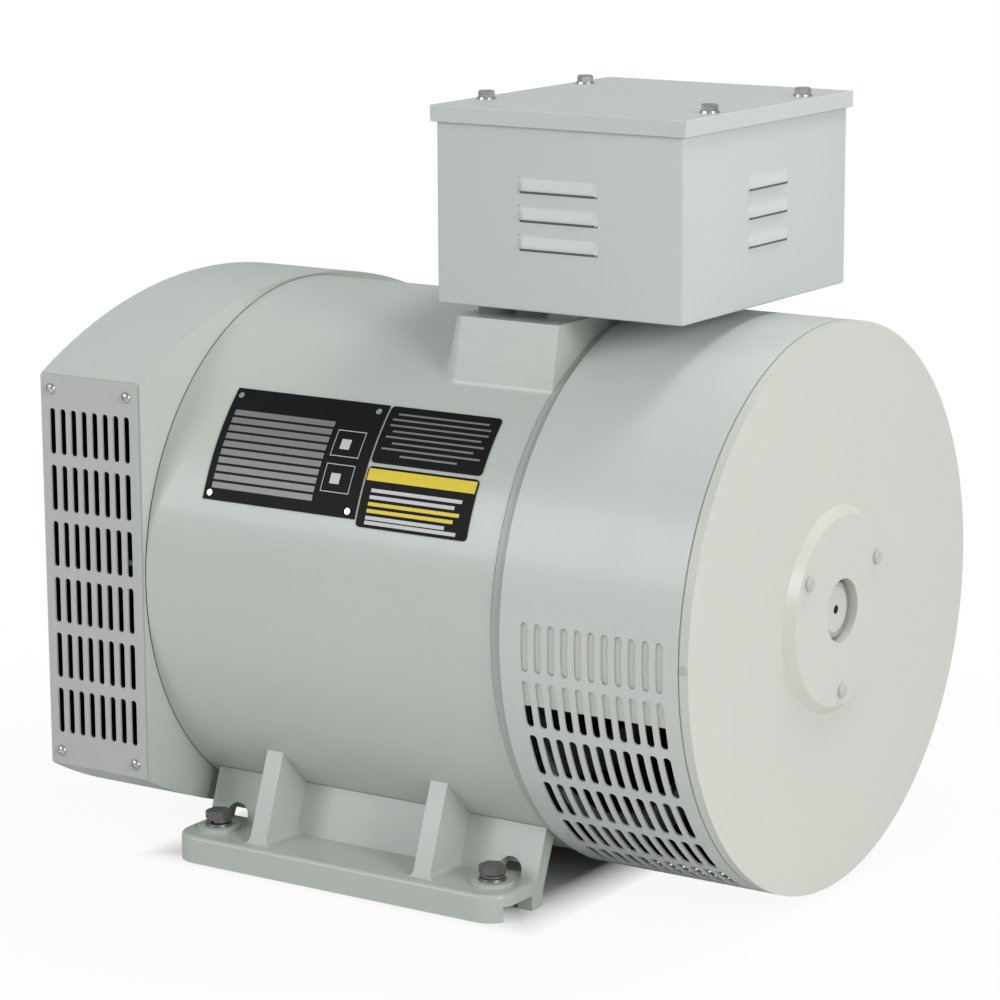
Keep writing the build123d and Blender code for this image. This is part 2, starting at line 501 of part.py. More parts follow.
with BuildPart() as grille_screws:
    for side in (NEAR, FAR):
        places = [(-side * x, z) for x, z in grille_screws_at]
        steps = [(M4_R, -10, GRILLE_T), (M4_HEAD_R, GRILLE_T, GRILLE_T + M4_HEAD_H)]
        stepped_pins(side_plane(side), places, steps)
finish(grille_screws.part, "grille_screws")

# ---- drive-end bearing and its outer cap --------------------------------------------------------
with BuildPart() as de_bearing_outer:
    bearing_outer(DE_BEARING_X0, DE_BEARING_W, DE_BEARING_R, DE_RACE_R, DE_INNER_R + GAP)
finish(de_bearing_outer.part, "de_bearing_outer")

with BuildPart() as de_bearing_inner:
    ring(DE_BEARING_X0, DE_BEARING_X0 + DE_BEARING_W, DE_INNER_R, DE_SEAT_R)
finish(de_bearing_inner.part, "de_bearing_inner")

with BuildPart() as de_bearing_cap:
    ring(DE_HUB_X0 - DE_CAP_T, DE_HUB_X0, DE_HUB_R - 1, DE_SEAT_R + 0.8)
    ring(DE_HUB_X0, DE_BEARING_X0, DE_BEARING_R - GAP, DE_RACE_R)
    ring_of_holes(DE_HUB_X0 - DE_CAP_T, DE_HUB_X0, DE_CAP_SCREW_R, M6_R + GAP, DE_CAP_SCREWS, 45)
finish(de_bearing_cap.part, "de_bearing_cap")

with BuildPart() as de_cap_screws:
    cap_face = DE_HUB_X0 - DE_CAP_T
    axial_bolts(cap_face, -1, DE_CAP_SCREW_R, DE_CAP_SCREWS, 45, M6_R, M6_HEAD_R, M6_HEAD_H, 20)
finish(de_cap_screws.part, "de_cap_screws")

# ---- rotor --------------------------------------------------------------------------------------
shoulder_x = SHAFT_END_X + SHAFT_END_LEN
FAN_X0, FAN_X1, FAN_SEAT_R = DE_HUB_X1 + 2.0, HOUSING_X1 - REAR_WALL - 1.5, 28.0
CENTRE_TAP_R, CENTRE_TAP_DEPTH = 7.0, 36.0  # M16 centre hole in the drive extension
KEYWAY_W, KEYWAY_DEPTH, KEYWAY_LEN = 12.0, 5.0, 80.0
shaft_nde_x = boss_x - 5.0
with BuildPart() as shaft:
    ring(SHAFT_END_X, shoulder_x, SHAFT_END_R)
    ring(shoulder_x, FAN_X0, DE_SEAT_R)
    ring(FAN_X0, core_x0 - 40, FAN_SEAT_R)
    ring(core_x0 - 40, core_x1, CORE_SEAT_R)
    ring(core_x1, NDE_BEARING_X0, RING_SEAT_R)
    ring(NDE_BEARING_X0, shaft_nde_x, NDE_SEAT_R)
    chamfer(shaft.edges().group_by(Axis.X)[0], 1.5)
    chamfer(shaft.edges().group_by(Axis.X)[-1], 1.0)
    ring(shaft_nde_x - 8, shaft_nde_x, 3.0, mode=Mode.SUBTRACT)
    ring(SHAFT_END_X, SHAFT_END_X + CENTRE_TAP_DEPTH, CENTRE_TAP_R, mode=Mode.SUBTRACT)
    with BuildSketch(radial(0, SHAFT_END_X + SHAFT_END_LEN / 2, SHAFT_END_R - KEYWAY_DEPTH)):
        SlotOverall(KEYWAY_LEN, KEYWAY_W)
    extrude(amount=KEYWAY_DEPTH + 1, mode=Mode.SUBTRACT)
finish(shaft.part, "shaft")

SHOE_R0, SHOE_W, YOKE_R = ROTOR_R - 23.2, 130.0, 48.0
with BuildPart() as rotor_core:
    with BuildSketch(across(core_x0)):
        Circle(YOKE_R)
        with PolarLocations(ROTOR_R / 2, POLES):
            Rectangle(ROTOR_R, POLE_W)
        with PolarLocations(SHOE_R0 + 15, POLES):
            Rectangle(30, SHOE_W)
        Circle(ROTOR_R, mode=Mode.INTERSECT)
        Circle(CORE_SEAT_R, mode=Mode.SUBTRACT)
    extrude(amount=CORE_LEN)
finish(rotor_core.part, "rotor_core")

COIL_R0, COIL_BUILD = YOKE_R + 10.0, 17.0
COIL_H = SHOE_R0 - COIL_R0 - 2.0
with BuildPart() as field_coils:
    for pole in range(POLES):
        with BuildSketch(radial(pole * 360 / POLES, CORE_X, COIL_R0)):
            RectangleRounded(CORE_LEN + 2 + 2 * COIL_BUILD, POLE_W + 2 + 2 * COIL_BUILD, COIL_BUILD)
            Rectangle(CORE_LEN + 1, POLE_W + 1, mode=Mode.SUBTRACT)
        extrude(amount=COIL_H)
finish(field_coils.part, "field_coils")

FAN_R, FAN_EYE_R, BLADES = REAR_BORE - 14.0, 78.0, 10
with BuildPart() as fan:
    ring(FAN_X0, FAN_X1, 44, FAN_SEAT_R)
    ring(FAN_X1 - 5, FAN_X1, FAN_R, 40)
    with BuildSketch(across(FAN_X0)):
        with PolarLocations((FAN_R + FAN_EYE_R) / 2, BLADES):
            Rectangle(FAN_R - FAN_EYE_R - 2, 4)
    extrude(amount=FAN_X1 - FAN_X0 - 4)
finish(fan.part, "fan")

RING_HUB_R = 36.0
with BuildPart() as slip_ring_hub:
    ring(RING_XS[0] - 16, RING_XS[1] + 16, RING_HUB_R, RING_SEAT_R)
    for x in (RING_XS[0] - 13, sum(RING_XS) / 2 - 2.5, RING_XS[1] + 8.5):
        ring(x, x + 4.5, RING_R - 3, RING_HUB_R - 1)
finish(slip_ring_hub.part, "slip_ring_hub")

with BuildPart() as slip_rings:
    for x in RING_XS:
        ring(x - RING_W / 2, x + RING_W / 2, RING_R, RING_HUB_R)
finish(slip_rings.part, "slip_rings")

# ---- brush gear ---------------------------------------------------------------------------------
BRUSH_Z = SHAFT_Z + RING_R
HOLDER_Z0, HOLDER_H = SHAFT_Z + 50, 22.0
COIL_SPRING_R, COIL_SPRING_W = 6.0, 8.0
for x, name in zip(RING_XS, ("a", "b")):
    with BuildPart() as brush:
        with BuildSketch(Plane.XY.offset(BRUSH_Z - 3)):
            with Locations((x, 0)):
                Rectangle(BRUSH_X, BRUSH_Y)
        extrude(amount=BRUSH_H + 3)
        ring(x - BRUSH_X, x + BRUSH_X, RING_R + GAP, mode=Mode.SUBTRACT)
    finish(brush.part, f"brush_{name}")
    # The constant-force spring's coil rides on top of the brush.
    coil_centre = (x - COIL_SPRING_W / 2, 0, BRUSH_Z + BRUSH_H + COIL_SPRING_R)
    with BuildPart() as brush_spring:
        with BuildSketch(Plane(origin=coil_centre, x_dir=(0, 1, 0), z_dir=(1, 0, 0))):
            Circle(COIL_SPRING_R)
        extrude(amount=COIL_SPRING_W)
    finish(brush_spring.part, f"brush_spring_{name}")

with BuildPart() as brush_holders:
    for x in RING_XS:
        with BuildSketch(Plane.XY.offset(HOLDER_Z0)):
            with Locations((x, 0)):
                Rectangle(BRUSH_X + 2 * (BRUSH_SLIDE + HOLDER_T), 2 * BOARD_Y)
                Rectangle(BRUSH_X + 2 * BRUSH_SLIDE, BRUSH_Y + 2 * BRUSH_SLIDE, mode=Mode.SUBTRACT)
        extrude(amount=HOLDER_H)
finish(brush_holders.part, "brush_holders")

# The board hangs over the rings from the lug: deep behind the holders, shallow above the hub.
board_x0, board_step, board_x1 = RING_XS[0] - 12, RING_XS[1] + 12, PLATE_X0 - 1
with BuildPart() as brush_board:
    with BuildSketch(Plane.XZ.offset(-BOARD_Y)):
        with Locations(((board_x0 + board_x1) / 2, LUG_Z0 + LUG_H / 2)):
            Rectangle(board_x1 - board_x0, LUG_H)
        with Locations(((board_x0 + board_step) / 2, (HOLDER_Z0 + LUG_Z0 + 2) / 2)):
            Rectangle(board_step - board_x0, LUG_Z0 + 2 - HOLDER_Z0)
        with Locations(*board_screws_at):
            Circle(BOARD_SCREW_R, mode=Mode.SUBTRACT)
    extrude(amount=-BOARD_T)
finish(brush_board.part, "brush_board")

with BuildPart() as brush_board_screws:
    steps = [(BOARD_SCREW_R, -16, 0), (1.8 * BOARD_SCREW_R, 0, 3)]
    stepped_pins(Plane.XZ.offset(-BOARD_Y), board_screws_at, steps)
finish(brush_board_screws.part, "brush_board_screws")

# ---- terminal box -------------------------------------------------------------------------------
box_low, box_high = BOX_X - BOX_LEN / 2, BOX_X + BOX_LEN / 2
lid_places = [(BOX_X + x * LID_BOLT_X / 2, y * LID_BOLT_Y / 2) for x in (-1, 1) for y in (-1, 1)]
ENTRY_R, ENTRY_Z = 14.0, BOX_Z0 + 40


def wall_plane(side, axis):
    """Outward plane on a side wall of the terminal box, its local x level and local y up."""
    if axis == "y":
        return Plane(origin=(BOX_X, side * BOX_WID / 2, 0), x_dir=(-side, 0, 0), z_dir=(0, side, 0))
    return Plane(origin=(BOX_X + side * BOX_LEN / 2, 0, 0), x_dir=(0, side, 0), z_dir=(side, 0, 0))


def louvre(plane, z, length, outer):
    """Wedge-shaped hood, open at the bottom; the outer wedge adds and the inner one cuts."""
    inset = 0.0 if outer else 1.2
    section = Plane(origin=plane.origin, x_dir=plane.z_dir, z_dir=plane.x_dir * -1)
    with BuildSketch(section.offset(-length / 2 + inset)) as wedge:
        with BuildLine():
            Polyline(
                (-SHEET if not outer else -0.1, z),
                (LOUVRE_OUT - inset, z),
                (0, z + LOUVRE_H - 1.4 * inset),
                (-SHEET if not outer else -0.1, z + LOUVRE_H - 1.4 * inset),
                close=True,
            )
        make_face()
    extrude(wedge.sketch, amount=length - 2 * inset, mode=Mode.ADD if outer else Mode.SUBTRACT)


with BuildPart() as terminal_box:
    with BuildSketch(Plane.XY.offset(BOX_Z0)):
        with Locations((BOX_X, 0)):
            Rectangle(BOX_LEN, BOX_WID)
    extrude(amount=BOX_Z1 - BOX_Z0)
    with BuildSketch(Plane.XY.offset(BOX_Z0 + SHEET)):
        with Locations((BOX_X, 0)):
            Rectangle(BOX_LEN - 2 * SHEET, BOX_WID - 2 * SHEET)
    extrude(amount=BOX_Z1 - BOX_Z0, mode=Mode.SUBTRACT)
    # Tabs that take the lid bolts.
    with BuildSketch(Plane.XY.offset(BOX_Z1 - 3)):
        with Locations(*[(x - 0.5 if x < BOX_X else x + 0.5, y) for x, y in lid_places]):
            Rectangle(BOX_LEN - LID_BOLT_X - 2, 20)
        with Locations(*lid_places):
            Circle(M6_R, mode=Mode.SUBTRACT)
    extrude(amount=3)
    for side in (-1, 1):
        for z in LOUVRE_Z:
            louvre(wall_plane(side, "y"), z, LOUVRE_NEAR, True)
            louvre(wall_plane(side, "x"), z, LOUVRE_END, True)
    for side in (-1, 1):
        for z in LOUVRE_Z:
            louvre(wall_plane(side, "y"), z, LOUVRE_NEAR, False)
            louvre(wall_plane(side, "x"), z, LOUVRE_END, False)
    with BuildSketch(Plane.XY.offset(BOX_Z0)):
        with Locations(*pad_bolts):
            Circle(M8_R + GAP)
    extrude(amount=SHEET, mode=Mode.SUBTRACT)
    with BuildSketch(Plane(origin=(box_low, 70, ENTRY_Z), x_dir=(0, 1, 0), z_dir=(1, 0, 0))):
        Circle(ENTRY_R)
    extrude(amount=SHEET, mode=Mode.SUBTRACT)
finish(terminal_box.part, "terminal_box")

LID_Z0, LID_Z1 = BOX_Z1, BOX_Z1 + LID_T
with BuildPart() as box_lid:
    with BuildSketch(Plane.XY.offset(LID_Z1 - LID_LIP)):
        with Locations((BOX_X, 0)):
            Rectangle(LID_LEN, LID_WID)
    extrude(amount=LID_LIP)
    with BuildSketch(Plane.XY.offset(LID_Z1 - LID_LIP)):
        with Locations((BOX_X, 0)):
            Rectangle(LID_LEN - 2 * LID_T, LID_WID - 2 * LID_T)
    extrude(amount=LID_LIP - LID_T, mode=Mode.SUBTRACT)
    with BuildSketch(Plane.XY.offset(LID_Z0)):
        with Locations(*lid_places):
            Circle(M6_R + GAP)
    extrude(amount=LID_T, mode=Mode.SUBTRACT)
finish(box_lid.part, "box_lid")

with BuildPart() as lid_bolts:
    stepped_pins(Plane.XY.offset(LID_Z1), lid_places, [(M6_R, -12, 1.8), (7.0, 0, 1.8)])
    hex_heads(Plane.XY.offset(LID_Z1 + 1.8), lid_places, M6_HEAD_R, 4.4)
finish(lid_bolts.part, "lid_bolts")

with BuildPart() as box_spacers:
    with BuildSketch(Plane.XY.offset(PAD_TOP)):
        with Locations(*pad_bolts):
            Circle(13)
            Circle(M8_R + GAP, mode=Mode.SUBTRACT)
    extrude(amount=BOX_Z0 - PAD_TOP)
finish(box_spacers.part, "box_spacers")

with BuildPart() as box_bolts:
    hex_heads(Plane.XY.offset(BOX_Z0 + SHEET), pad_bolts, M8_HEAD_R, M8_HEAD_H)
    stepped_pins(Plane.XY, pad_bolts, [(M8_R, PAD_TOP - 14, BOX_Z0 + SHEET + 1)])
finish(box_bolts.part, "box_bolts")

with BuildPart() as entry_grommet:
    entry = Plane(origin=(box_low, 70, ENTRY_Z), x_dir=(0, 1, 0), z_dir=(1, 0, 0))
    stepped_pins(entry, [(0, 0)], [(ENTRY_R + 3, -3, 0), (ENTRY_R, 0, SHEET), (ENTRY_R + 3, SHEET, SHEET + 3)])
finish(entry_grommet.part, "entry_grommet")

# Terminal board with six brass studs and their nuts, and the rectifier beside it.
BOARD_X, BOARD_L, BOARD_W, BOARD_H = box_low + 48.0, 44.0, 180.0, 14.0
stud_places = [(BOARD_X, -75 + 30 * i) for i in range(6)]
board_top = BOX_Z0 + SHEET + M8_HEAD_H + 2 + BOARD_H
with BuildPart() as terminal_board:
    with BuildSketch(Plane.XY.offset(board_top - BOARD_H)):
        with Locations((BOARD_X, 0)):
            Rectangle(BOARD_L, BOARD_W)
    extrude(amount=BOARD_H)
    with BuildSketch(Plane.XY.offset(BOX_Z0 + SHEET)):
        with Locations((BOARD_X, 0)):
            Rectangle(BOARD_L, 30)
    extrude(amount=board_top - BOX_Z0 - SHEET - 1)
    with BuildSketch(Plane.XY.offset(board_top)):
        with Locations(*[(BOARD_X, -60 + 30 * i) for i in range(5)]):
            Rectangle(BOARD_L, 3)
    extrude(amount=10)
finish(terminal_board.part, "terminal_board")

with BuildPart() as terminal_studs:
    stepped_pins(Plane.XY.offset(board_top), stud_places, [(M8_R - 1, 0, 22)])
finish(terminal_studs.part, "terminal_studs")

with BuildPart() as terminal_nuts:
    with BuildSketch(Plane.XY.offset(board_top)):
        with Locations(*stud_places):
            RegularPolygon(M6_HEAD_R, 6)
            Circle(M8_R - 1, mode=Mode.SUBTRACT)
    extrude(amount=5)
finish(terminal_nuts.part, "terminal_nuts")

RECT_L, RECT_W, RECT_BASE, RECT_FINS = BOX_LEN / 2 - 28.0, 110.0, 6.0, 11
rect_x = box_high - 8.0 - RECT_L / 2
with BuildPart() as rectifier:
    with BuildSketch(Plane.XY.offset(BOX_Z0 + SHEET)):
        with Locations((rect_x, 0)):
            Rectangle(RECT_L, RECT_W)
    extrude(amount=RECT_BASE)
    with BuildSketch(Plane.XY.offset(BOX_Z0 + SHEET + RECT_BASE)):
        with Locations((rect_x, 0)):
            with GridLocations(0, RECT_W / RECT_FINS, 1, RECT_FINS):
                Rectangle(RECT_L - 4, 3)
    extrude(amount=26)
finish(rectifier.part, "rectifier")

# ---- rating plate, two plain label plates and rivets on the near side ---------------------------
LABEL_T, GLUE = 0.9, 0.15


def curved_plate(x0, x1, low, high, corner):
    """Thin plate rolled round the barrel between two heights, in degrees above the shaft level."""
    with BuildSketch(across(x0)) as strip:
        with BuildLine():
            inner = CenterArc((0, 0), FRAME_R + GLUE, 180 - high, high - low)
            outer = CenterArc((0, 0), FRAME_R + LABEL_T, 180 - high, high - low)
            Line(inner @ 0, outer @ 0)
            Line(inner @ 1, outer @ 1)
        make_face()
    extrude(strip.sketch, amount=x1 - x0)
    if corner:
        short = LABEL_T * 1.5
        ends = [e for e in edges() if e.length < short]
        fillet(ends, corner)


LABEL_LEN, LABEL_CORNER, RATING_LEN, RATING_LOW, RATING_HIGH = 91.0, 3.0, 131.0, 19.6, 44.6
LABEL_X1 = FRAME_X1 - 27.0
LABEL_X0 = LABEL_X1 - LABEL_LEN
RATING_X1 = LABEL_X0 - 2.0
RATING_X0 = RATING_X1 - RATING_LEN
with BuildPart() as rating_plate:
    curved_plate(RATING_X0, RATING_X1, RATING_LOW, RATING_HIGH, 0)
finish(rating_plate.part, "rating_plate")

for name, low, high in (("upper", 31.7, 44.6), ("lower", 18.3, 30.9)):
    with BuildPart() as label:
        curved_plate(LABEL_X0, LABEL_X1, low, high, LABEL_CORNER)
    finish(label.part, f"label_plate_{name}")

with BuildPart() as plate_rivets:
    for x in (RATING_X0 + 6, RATING_X1 - 6):
        for rise in (RATING_LOW + 1.4, RATING_HIGH - 1.9):
            with BuildSketch(radial(180 - rise, x, FRAME_R + LABEL_T)):
                Circle(2.3)
            extrude(amount=1.1)
finish(plate_rivets.part, "plate_rivets")
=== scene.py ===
# %% [markdown]
# # Generator alternator head
# A foot-mounted alternator head for a generating set: a cast stator frame on two feet, an arched
# drive-end housing with slotted side plates, a slotted sheet band round the far end, and a folded
# terminal box on top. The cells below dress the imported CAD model: what its solids already show well
# gets a material, and what needs finer edges, slots or screws is made again as a piece of its own.

# %% Load the frame and keep its box
import json
import math

import bmesh
import bpy
from mathutils import Matrix, Vector


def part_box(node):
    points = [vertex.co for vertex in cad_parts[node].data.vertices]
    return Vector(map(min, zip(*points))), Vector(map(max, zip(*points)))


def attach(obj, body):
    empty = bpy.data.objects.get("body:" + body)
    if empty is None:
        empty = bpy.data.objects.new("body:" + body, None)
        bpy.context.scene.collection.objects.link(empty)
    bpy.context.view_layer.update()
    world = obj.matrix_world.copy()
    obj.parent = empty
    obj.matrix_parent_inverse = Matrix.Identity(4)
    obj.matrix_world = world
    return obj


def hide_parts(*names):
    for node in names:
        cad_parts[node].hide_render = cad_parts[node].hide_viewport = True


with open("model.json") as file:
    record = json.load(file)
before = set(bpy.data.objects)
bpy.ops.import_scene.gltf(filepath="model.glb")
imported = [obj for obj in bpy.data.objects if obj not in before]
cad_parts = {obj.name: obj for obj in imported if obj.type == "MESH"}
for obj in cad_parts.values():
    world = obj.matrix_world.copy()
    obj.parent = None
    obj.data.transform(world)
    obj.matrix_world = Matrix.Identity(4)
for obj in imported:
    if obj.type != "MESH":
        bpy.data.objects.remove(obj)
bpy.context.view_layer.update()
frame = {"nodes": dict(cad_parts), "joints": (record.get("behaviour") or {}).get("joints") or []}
mm = 0.001
shaft_z = frame["joints"][0]["pos_m"][2]

# %% [markdown]
# ## Camera
# A long lens from a few metres away keeps the machine's lines nearly parallel, as a wide lens up close
# would not. It is seen from its non-drive end, a little from above. A camera could also be aimed with a
# Track To constraint, but an azimuth, an elevation and a small roll say exactly where it looks.

# %% Camera
azimuth, elevation, roll = math.radians(33.344), math.radians(12.098), math.radians(-0.2614)
back = Vector((math.sin(azimuth) * math.cos(elevation), -math.cos(azimuth) * math.cos(elevation), math.sin(elevation)))
level = Vector((math.cos(azimuth), math.sin(azimuth), 0))
right = level * math.cos(roll) + back.cross(level) * math.sin(roll)
camera_data = bpy.data.cameras.new("camera")
camera_data.lens, camera_data.sensor_width = 129.6, 36.0
camera = bpy.data.objects.new("camera", camera_data)
bpy.context.collection.objects.link(camera)
turn = Matrix((right, back.cross(right), back)).transposed().to_4x4()
camera_place = (1.4315, -2.143, 0.8006)
camera.matrix_world = Matrix.Translation(camera_place) @ turn
bpy.context.scene.camera = camera
print("camera", tuple(round(v, 3) for v in camera.location))

# %% [markdown]
# ## Node arithmetic
# Materials and geometry trees are both wired from nodes. The small Field class lets a node formula read
# like ordinary arithmetic, so that a mask or a louvre profile fits on one line.

# %% Node arithmetic


class Field:
    """A node socket that can be added, multiplied or compared, so a formula reads as one line."""

    def __init__(self, tree, socket):
        self.tree, self.socket = tree, socket

    def math(self, operation, other=None):
        node = self.tree.nodes.new("ShaderNodeMath")
        node.operation = operation
        plug(self.tree, node.inputs[0], self)
        if other is not None:
            plug(self.tree, node.inputs[1], other)
        return Field(self.tree, node.outputs[0])

    def __add__(self, other):
        return self.math("ADD", other)

    def __sub__(self, other):
        return self.math("SUBTRACT", other)

    def __mul__(self, other):
        return self.math("MULTIPLY", other)

    def __truediv__(self, other):
        return self.math("DIVIDE", other)


def plug(tree, socket, value):
    """Links a field or sets a plain value."""
    if isinstance(value, Field):
        tree.links.new(value.socket, socket)
    else:
        socket.default_value = value


def split(tree, vector):
    """X, Y and Z of a vector field."""
    node = tree.nodes.new("ShaderNodeSeparateXYZ")
    plug(tree, node.inputs[0], vector)
    return [Field(tree, node.outputs[axis]) for axis in "XYZ"]


# %% [markdown]
# ## Studio
# A pale floor and a white surround. The surround shows white to the camera, while the object itself is
# lit by a dimmer world and by three large soft lamps: the key at the front left, one at the right for the
# end face, and one overhead for the lid and the crown. The floor keeps the object's shadow and turns plain
# white away from it, so that no horizon shows.

# %% World, floor and lamps
scene = bpy.context.scene
scene.view_settings.view_transform = "Standard"


def make_world(strength):
    """White to the camera, softer as light."""
    world = bpy.data.worlds.new("studio")
    scene.world = world
    world.use_nodes = True
    nodes, links = world.node_tree.nodes, world.node_tree.links
    nodes.clear()
    seen, lighting = nodes.new("ShaderNodeBackground"), nodes.new("ShaderNodeBackground")
    seen.inputs["Color"].default_value = (1, 1, 1, 1)
    seen.inputs["Strength"].default_value = 1.0
    lighting.inputs["Color"].default_value = (0.95, 0.98, 1.0, 1)
    lighting.inputs["Strength"].default_value = strength
    path, mix = nodes.new("ShaderNodeLightPath"), nodes.new("ShaderNodeMixShader")
    out = nodes.new("ShaderNodeOutputWorld")
    links.new(path.outputs["Is Camera Ray"], mix.inputs["Fac"])
    links.new(lighting.outputs[0], mix.inputs[1])
    links.new(seen.outputs[0], mix.inputs[2])
    links.new(mix.outputs[0], out.inputs["Surface"])


def make_lamp(name, place, aim, size, watts, tint=(1, 1, 1)):
    """Square soft box that looks at a point."""
    data = bpy.data.lights.new(name, "AREA")
    data.shape, data.size, data.energy, data.color = "SQUARE", size, watts, tint
    lamp = bpy.data.objects.new(name, data)
    lamp.location = place
    lamp.rotation_mode = "QUATERNION"
    lamp.rotation_quaternion = (Vector(aim) - Vector(place)).to_track_quat("-Z", "Y")
    bpy.context.collection.objects.link(lamp)


def make_floor(size):
    """Large pale floor that keeps the shadow near the object and turns plain white away from it."""
    mesh = bpy.data.meshes.new("floor")
    mesh.from_pydata([(x * size, y * size, 0) for x, y in ((-1, -1), (1, -1), (1, 1), (-1, 1))], [], [(0, 1, 2, 3)])
    floor = bpy.data.objects.new("floor", mesh)
    bpy.context.collection.objects.link(floor)
    material = bpy.data.materials.new("floor")
    material.use_nodes = True
    nodes, links = material.node_tree.nodes, material.node_tree.links
    shader = nodes["Principled BSDF"]
    shader.inputs["Base Color"].default_value = (0.80, 0.80, 0.79, 1)
    shader.inputs["Roughness"].default_value = 0.9
    shader.inputs["Specular IOR Level"].default_value = 0.0
    white = nodes.new("ShaderNodeEmission")
    where, length = nodes.new("ShaderNodeTexCoord"), nodes.new("ShaderNodeVectorMath")
    far = nodes.new("ShaderNodeMapRange")
    length.operation = "LENGTH"
    far.interpolation_type = "SMOOTHSTEP"
    fade_start, fade_end = 0.30, 0.75  # metres from the middle
    far.inputs["From Min"].default_value, far.inputs["From Max"].default_value = fade_start, fade_end
    far.inputs["To Min"].default_value = 0.93
    links.new(where.outputs["Object"], length.inputs[0])
    links.new(length.outputs["Value"], far.inputs["Value"])
    path, mix = nodes.new("ShaderNodeLightPath"), nodes.new("ShaderNodeMixShader")
    x, y, _ = split(material.node_tree, Field(material.node_tree, where.outputs["Object"]))
    half_length, half_width = 150 * mm, 170 * mm  # of the patch between the feet that stays in shadow
    outside = (x.math("ABSOLUTE") / half_length).math("MAXIMUM", y.math("ABSOLUTE") / half_width)
    open_floor = nodes.new("ShaderNodeMapRange")
    open_floor.inputs["From Min"].default_value, open_floor.inputs["From Max"].default_value = 0.85, 1.15
    links.new(outside.socket, open_floor.inputs["Value"])
    camera_ray = Field(material.node_tree, path.outputs["Is Camera Ray"])
    far_away = Field(material.node_tree, far.outputs["Result"])
    seen = camera_ray * far_away * Field(material.node_tree, open_floor.outputs["Result"])
    links.new(seen.socket, mix.inputs["Fac"])
    links.new(shader.outputs[0], mix.inputs[1])
    links.new(white.outputs[0], mix.inputs[2])
    links.new(mix.outputs[0], nodes["Material Output"].inputs["Surface"])
    mesh.materials.append(material)


make_world(strength=0.42)
make_floor(size=12.0)
middle = (0, 0, 0.25)
make_lamp("key", (-1.5, -2.6, 1.6), middle, 1.3, 22)
make_lamp("side", (2.8, -1.1, 1.3), middle, 1.0, 36)
make_lamp("top", (0.9, 0.9, 2.6), middle, 0.8, 28)

# %% [markdown]
# ## Finishes
# Most of the machine wears the same light grey-green machine enamel. On castings it is thick and slightly
# lumpy over the sand-cast skin; on sheet metal it is thin and smooth. Every finish below is a small node
# tree on Object coordinates, so the pattern stays put on the piece: a broad noise shifts the colour and
# the gloss, and a finer one raises the surface. A masked finish turns to a second colour by a rule on the
# coordinates: the painted shade of the insides, the hairline joints and the painted end of the shaft are made so.

# %% Finish maker


def finish(name, colour, rough, metal=0.0, mottle=0.03, broad=9.0, grain=(), scuff=0.06, coat=0.0, stretch=(1, 1, 1)):
    """Procedural finish: colour mottled by a broad noise, gloss varied by scuffs, grain as (scale, height mm) bumps."""
    material = bpy.data.materials.new(name)
    material.use_nodes = True
    nodes, links = material.node_tree.nodes, material.node_tree.links
    shader = nodes["Principled BSDF"]
    shader.inputs["Metallic"].default_value = metal
    shader.inputs["Coat Weight"].default_value = coat
    shader.inputs["Coat Roughness"].default_value = 0.12
    where = nodes.new("ShaderNodeTexCoord")
    mapping = nodes.new("ShaderNodeMapping")
    mapping.inputs["Scale"].default_value = stretch
    links.new(where.outputs["Object"], mapping.inputs["Vector"])

    def noise(scale, detail):
        node = nodes.new("ShaderNodeTexNoise")
        node.inputs["Scale"].default_value = scale
        node.inputs["Detail"].default_value = detail
        links.new(mapping.outputs["Vector"], node.inputs["Vector"])
        return node

    cloud = noise(broad, 4)
    mix = nodes.new("ShaderNodeMix")
    mix.data_type = "RGBA"
    mix.inputs["A"].default_value = (*(c * (1 - mottle) for c in colour), 1)
    mix.inputs["B"].default_value = (*(min(1, c * (1 + mottle)) for c in colour), 1)
    links.new(cloud.outputs["Fac"], mix.inputs["Factor"])
    links.new(mix.outputs["Result"], shader.inputs["Base Color"])
    gloss = nodes.new("ShaderNodeMapRange")
    gloss.inputs["To Min"].default_value = max(0.05, rough - scuff)
    gloss.inputs["To Max"].default_value = rough + scuff
    links.new(noise(broad * 5, 6).outputs["Fac"], gloss.inputs["Value"])
    links.new(gloss.outputs["Result"], shader.inputs["Roughness"])
    normal = None
    for scale, height in grain:
        bump = nodes.new("ShaderNodeBump")
        bump.inputs["Strength"].default_value = 1.0
        bump.inputs["Distance"].default_value = height * mm
        links.new(noise(scale, 3).outputs["Fac"], bump.inputs["Height"])
        if normal:
            links.new(normal.outputs["Normal"], bump.inputs["Normal"])
        normal = bump
    if normal:
        links.new(normal.outputs["Normal"], shader.inputs["Normal"])
    return material


enamel = (0.565, 0.605, 0.560)
cast_enamel = finish("cast_enamel", enamel, 0.34, grain=((45, 0.5), (260, 0.10)), coat=0.25)
sheet_enamel = finish(
    "sheet_enamel", (0.600, 0.630, 0.605), 0.36, mottle=0.02, grain=((30, 0.15), (900, 0.02)), coat=0.15
)
end_enamel = finish("end_enamel", (0.615, 0.635, 0.575), 0.42, mottle=0.03, grain=((14, 0.3), (500, 0.02)), coat=0.1)
# painted shade: the painted-over screw heads wear a darker copy of the enamel, for the shade round them
shaded_screw_enamel = finish("shaded_screw_enamel", (0.50, 0.52, 0.48), 0.4, mottle=0.05, broad=60, grain=((400, 0.1),))
grille_enamel = finish("grille_enamel", (0.53, 0.54, 0.53), 0.45, mottle=0.02, grain=((900, 0.02),))
zinc = finish("zinc_plate", (0.62, 0.61, 0.58), 0.24, metal=1.0, mottle=0.10, broad=120, grain=((1500, 0.01),))
black_steel = finish(
    "blackened_steel", (0.19, 0.18, 0.18), 0.40, metal=0.6, mottle=0.25, broad=90, grain=((700, 0.05),)
)
bright_steel = finish("ground_steel", (0.58, 0.57, 0.55), 0.28, metal=1.0, mottle=0.05, broad=60, stretch=(8, 1, 1))
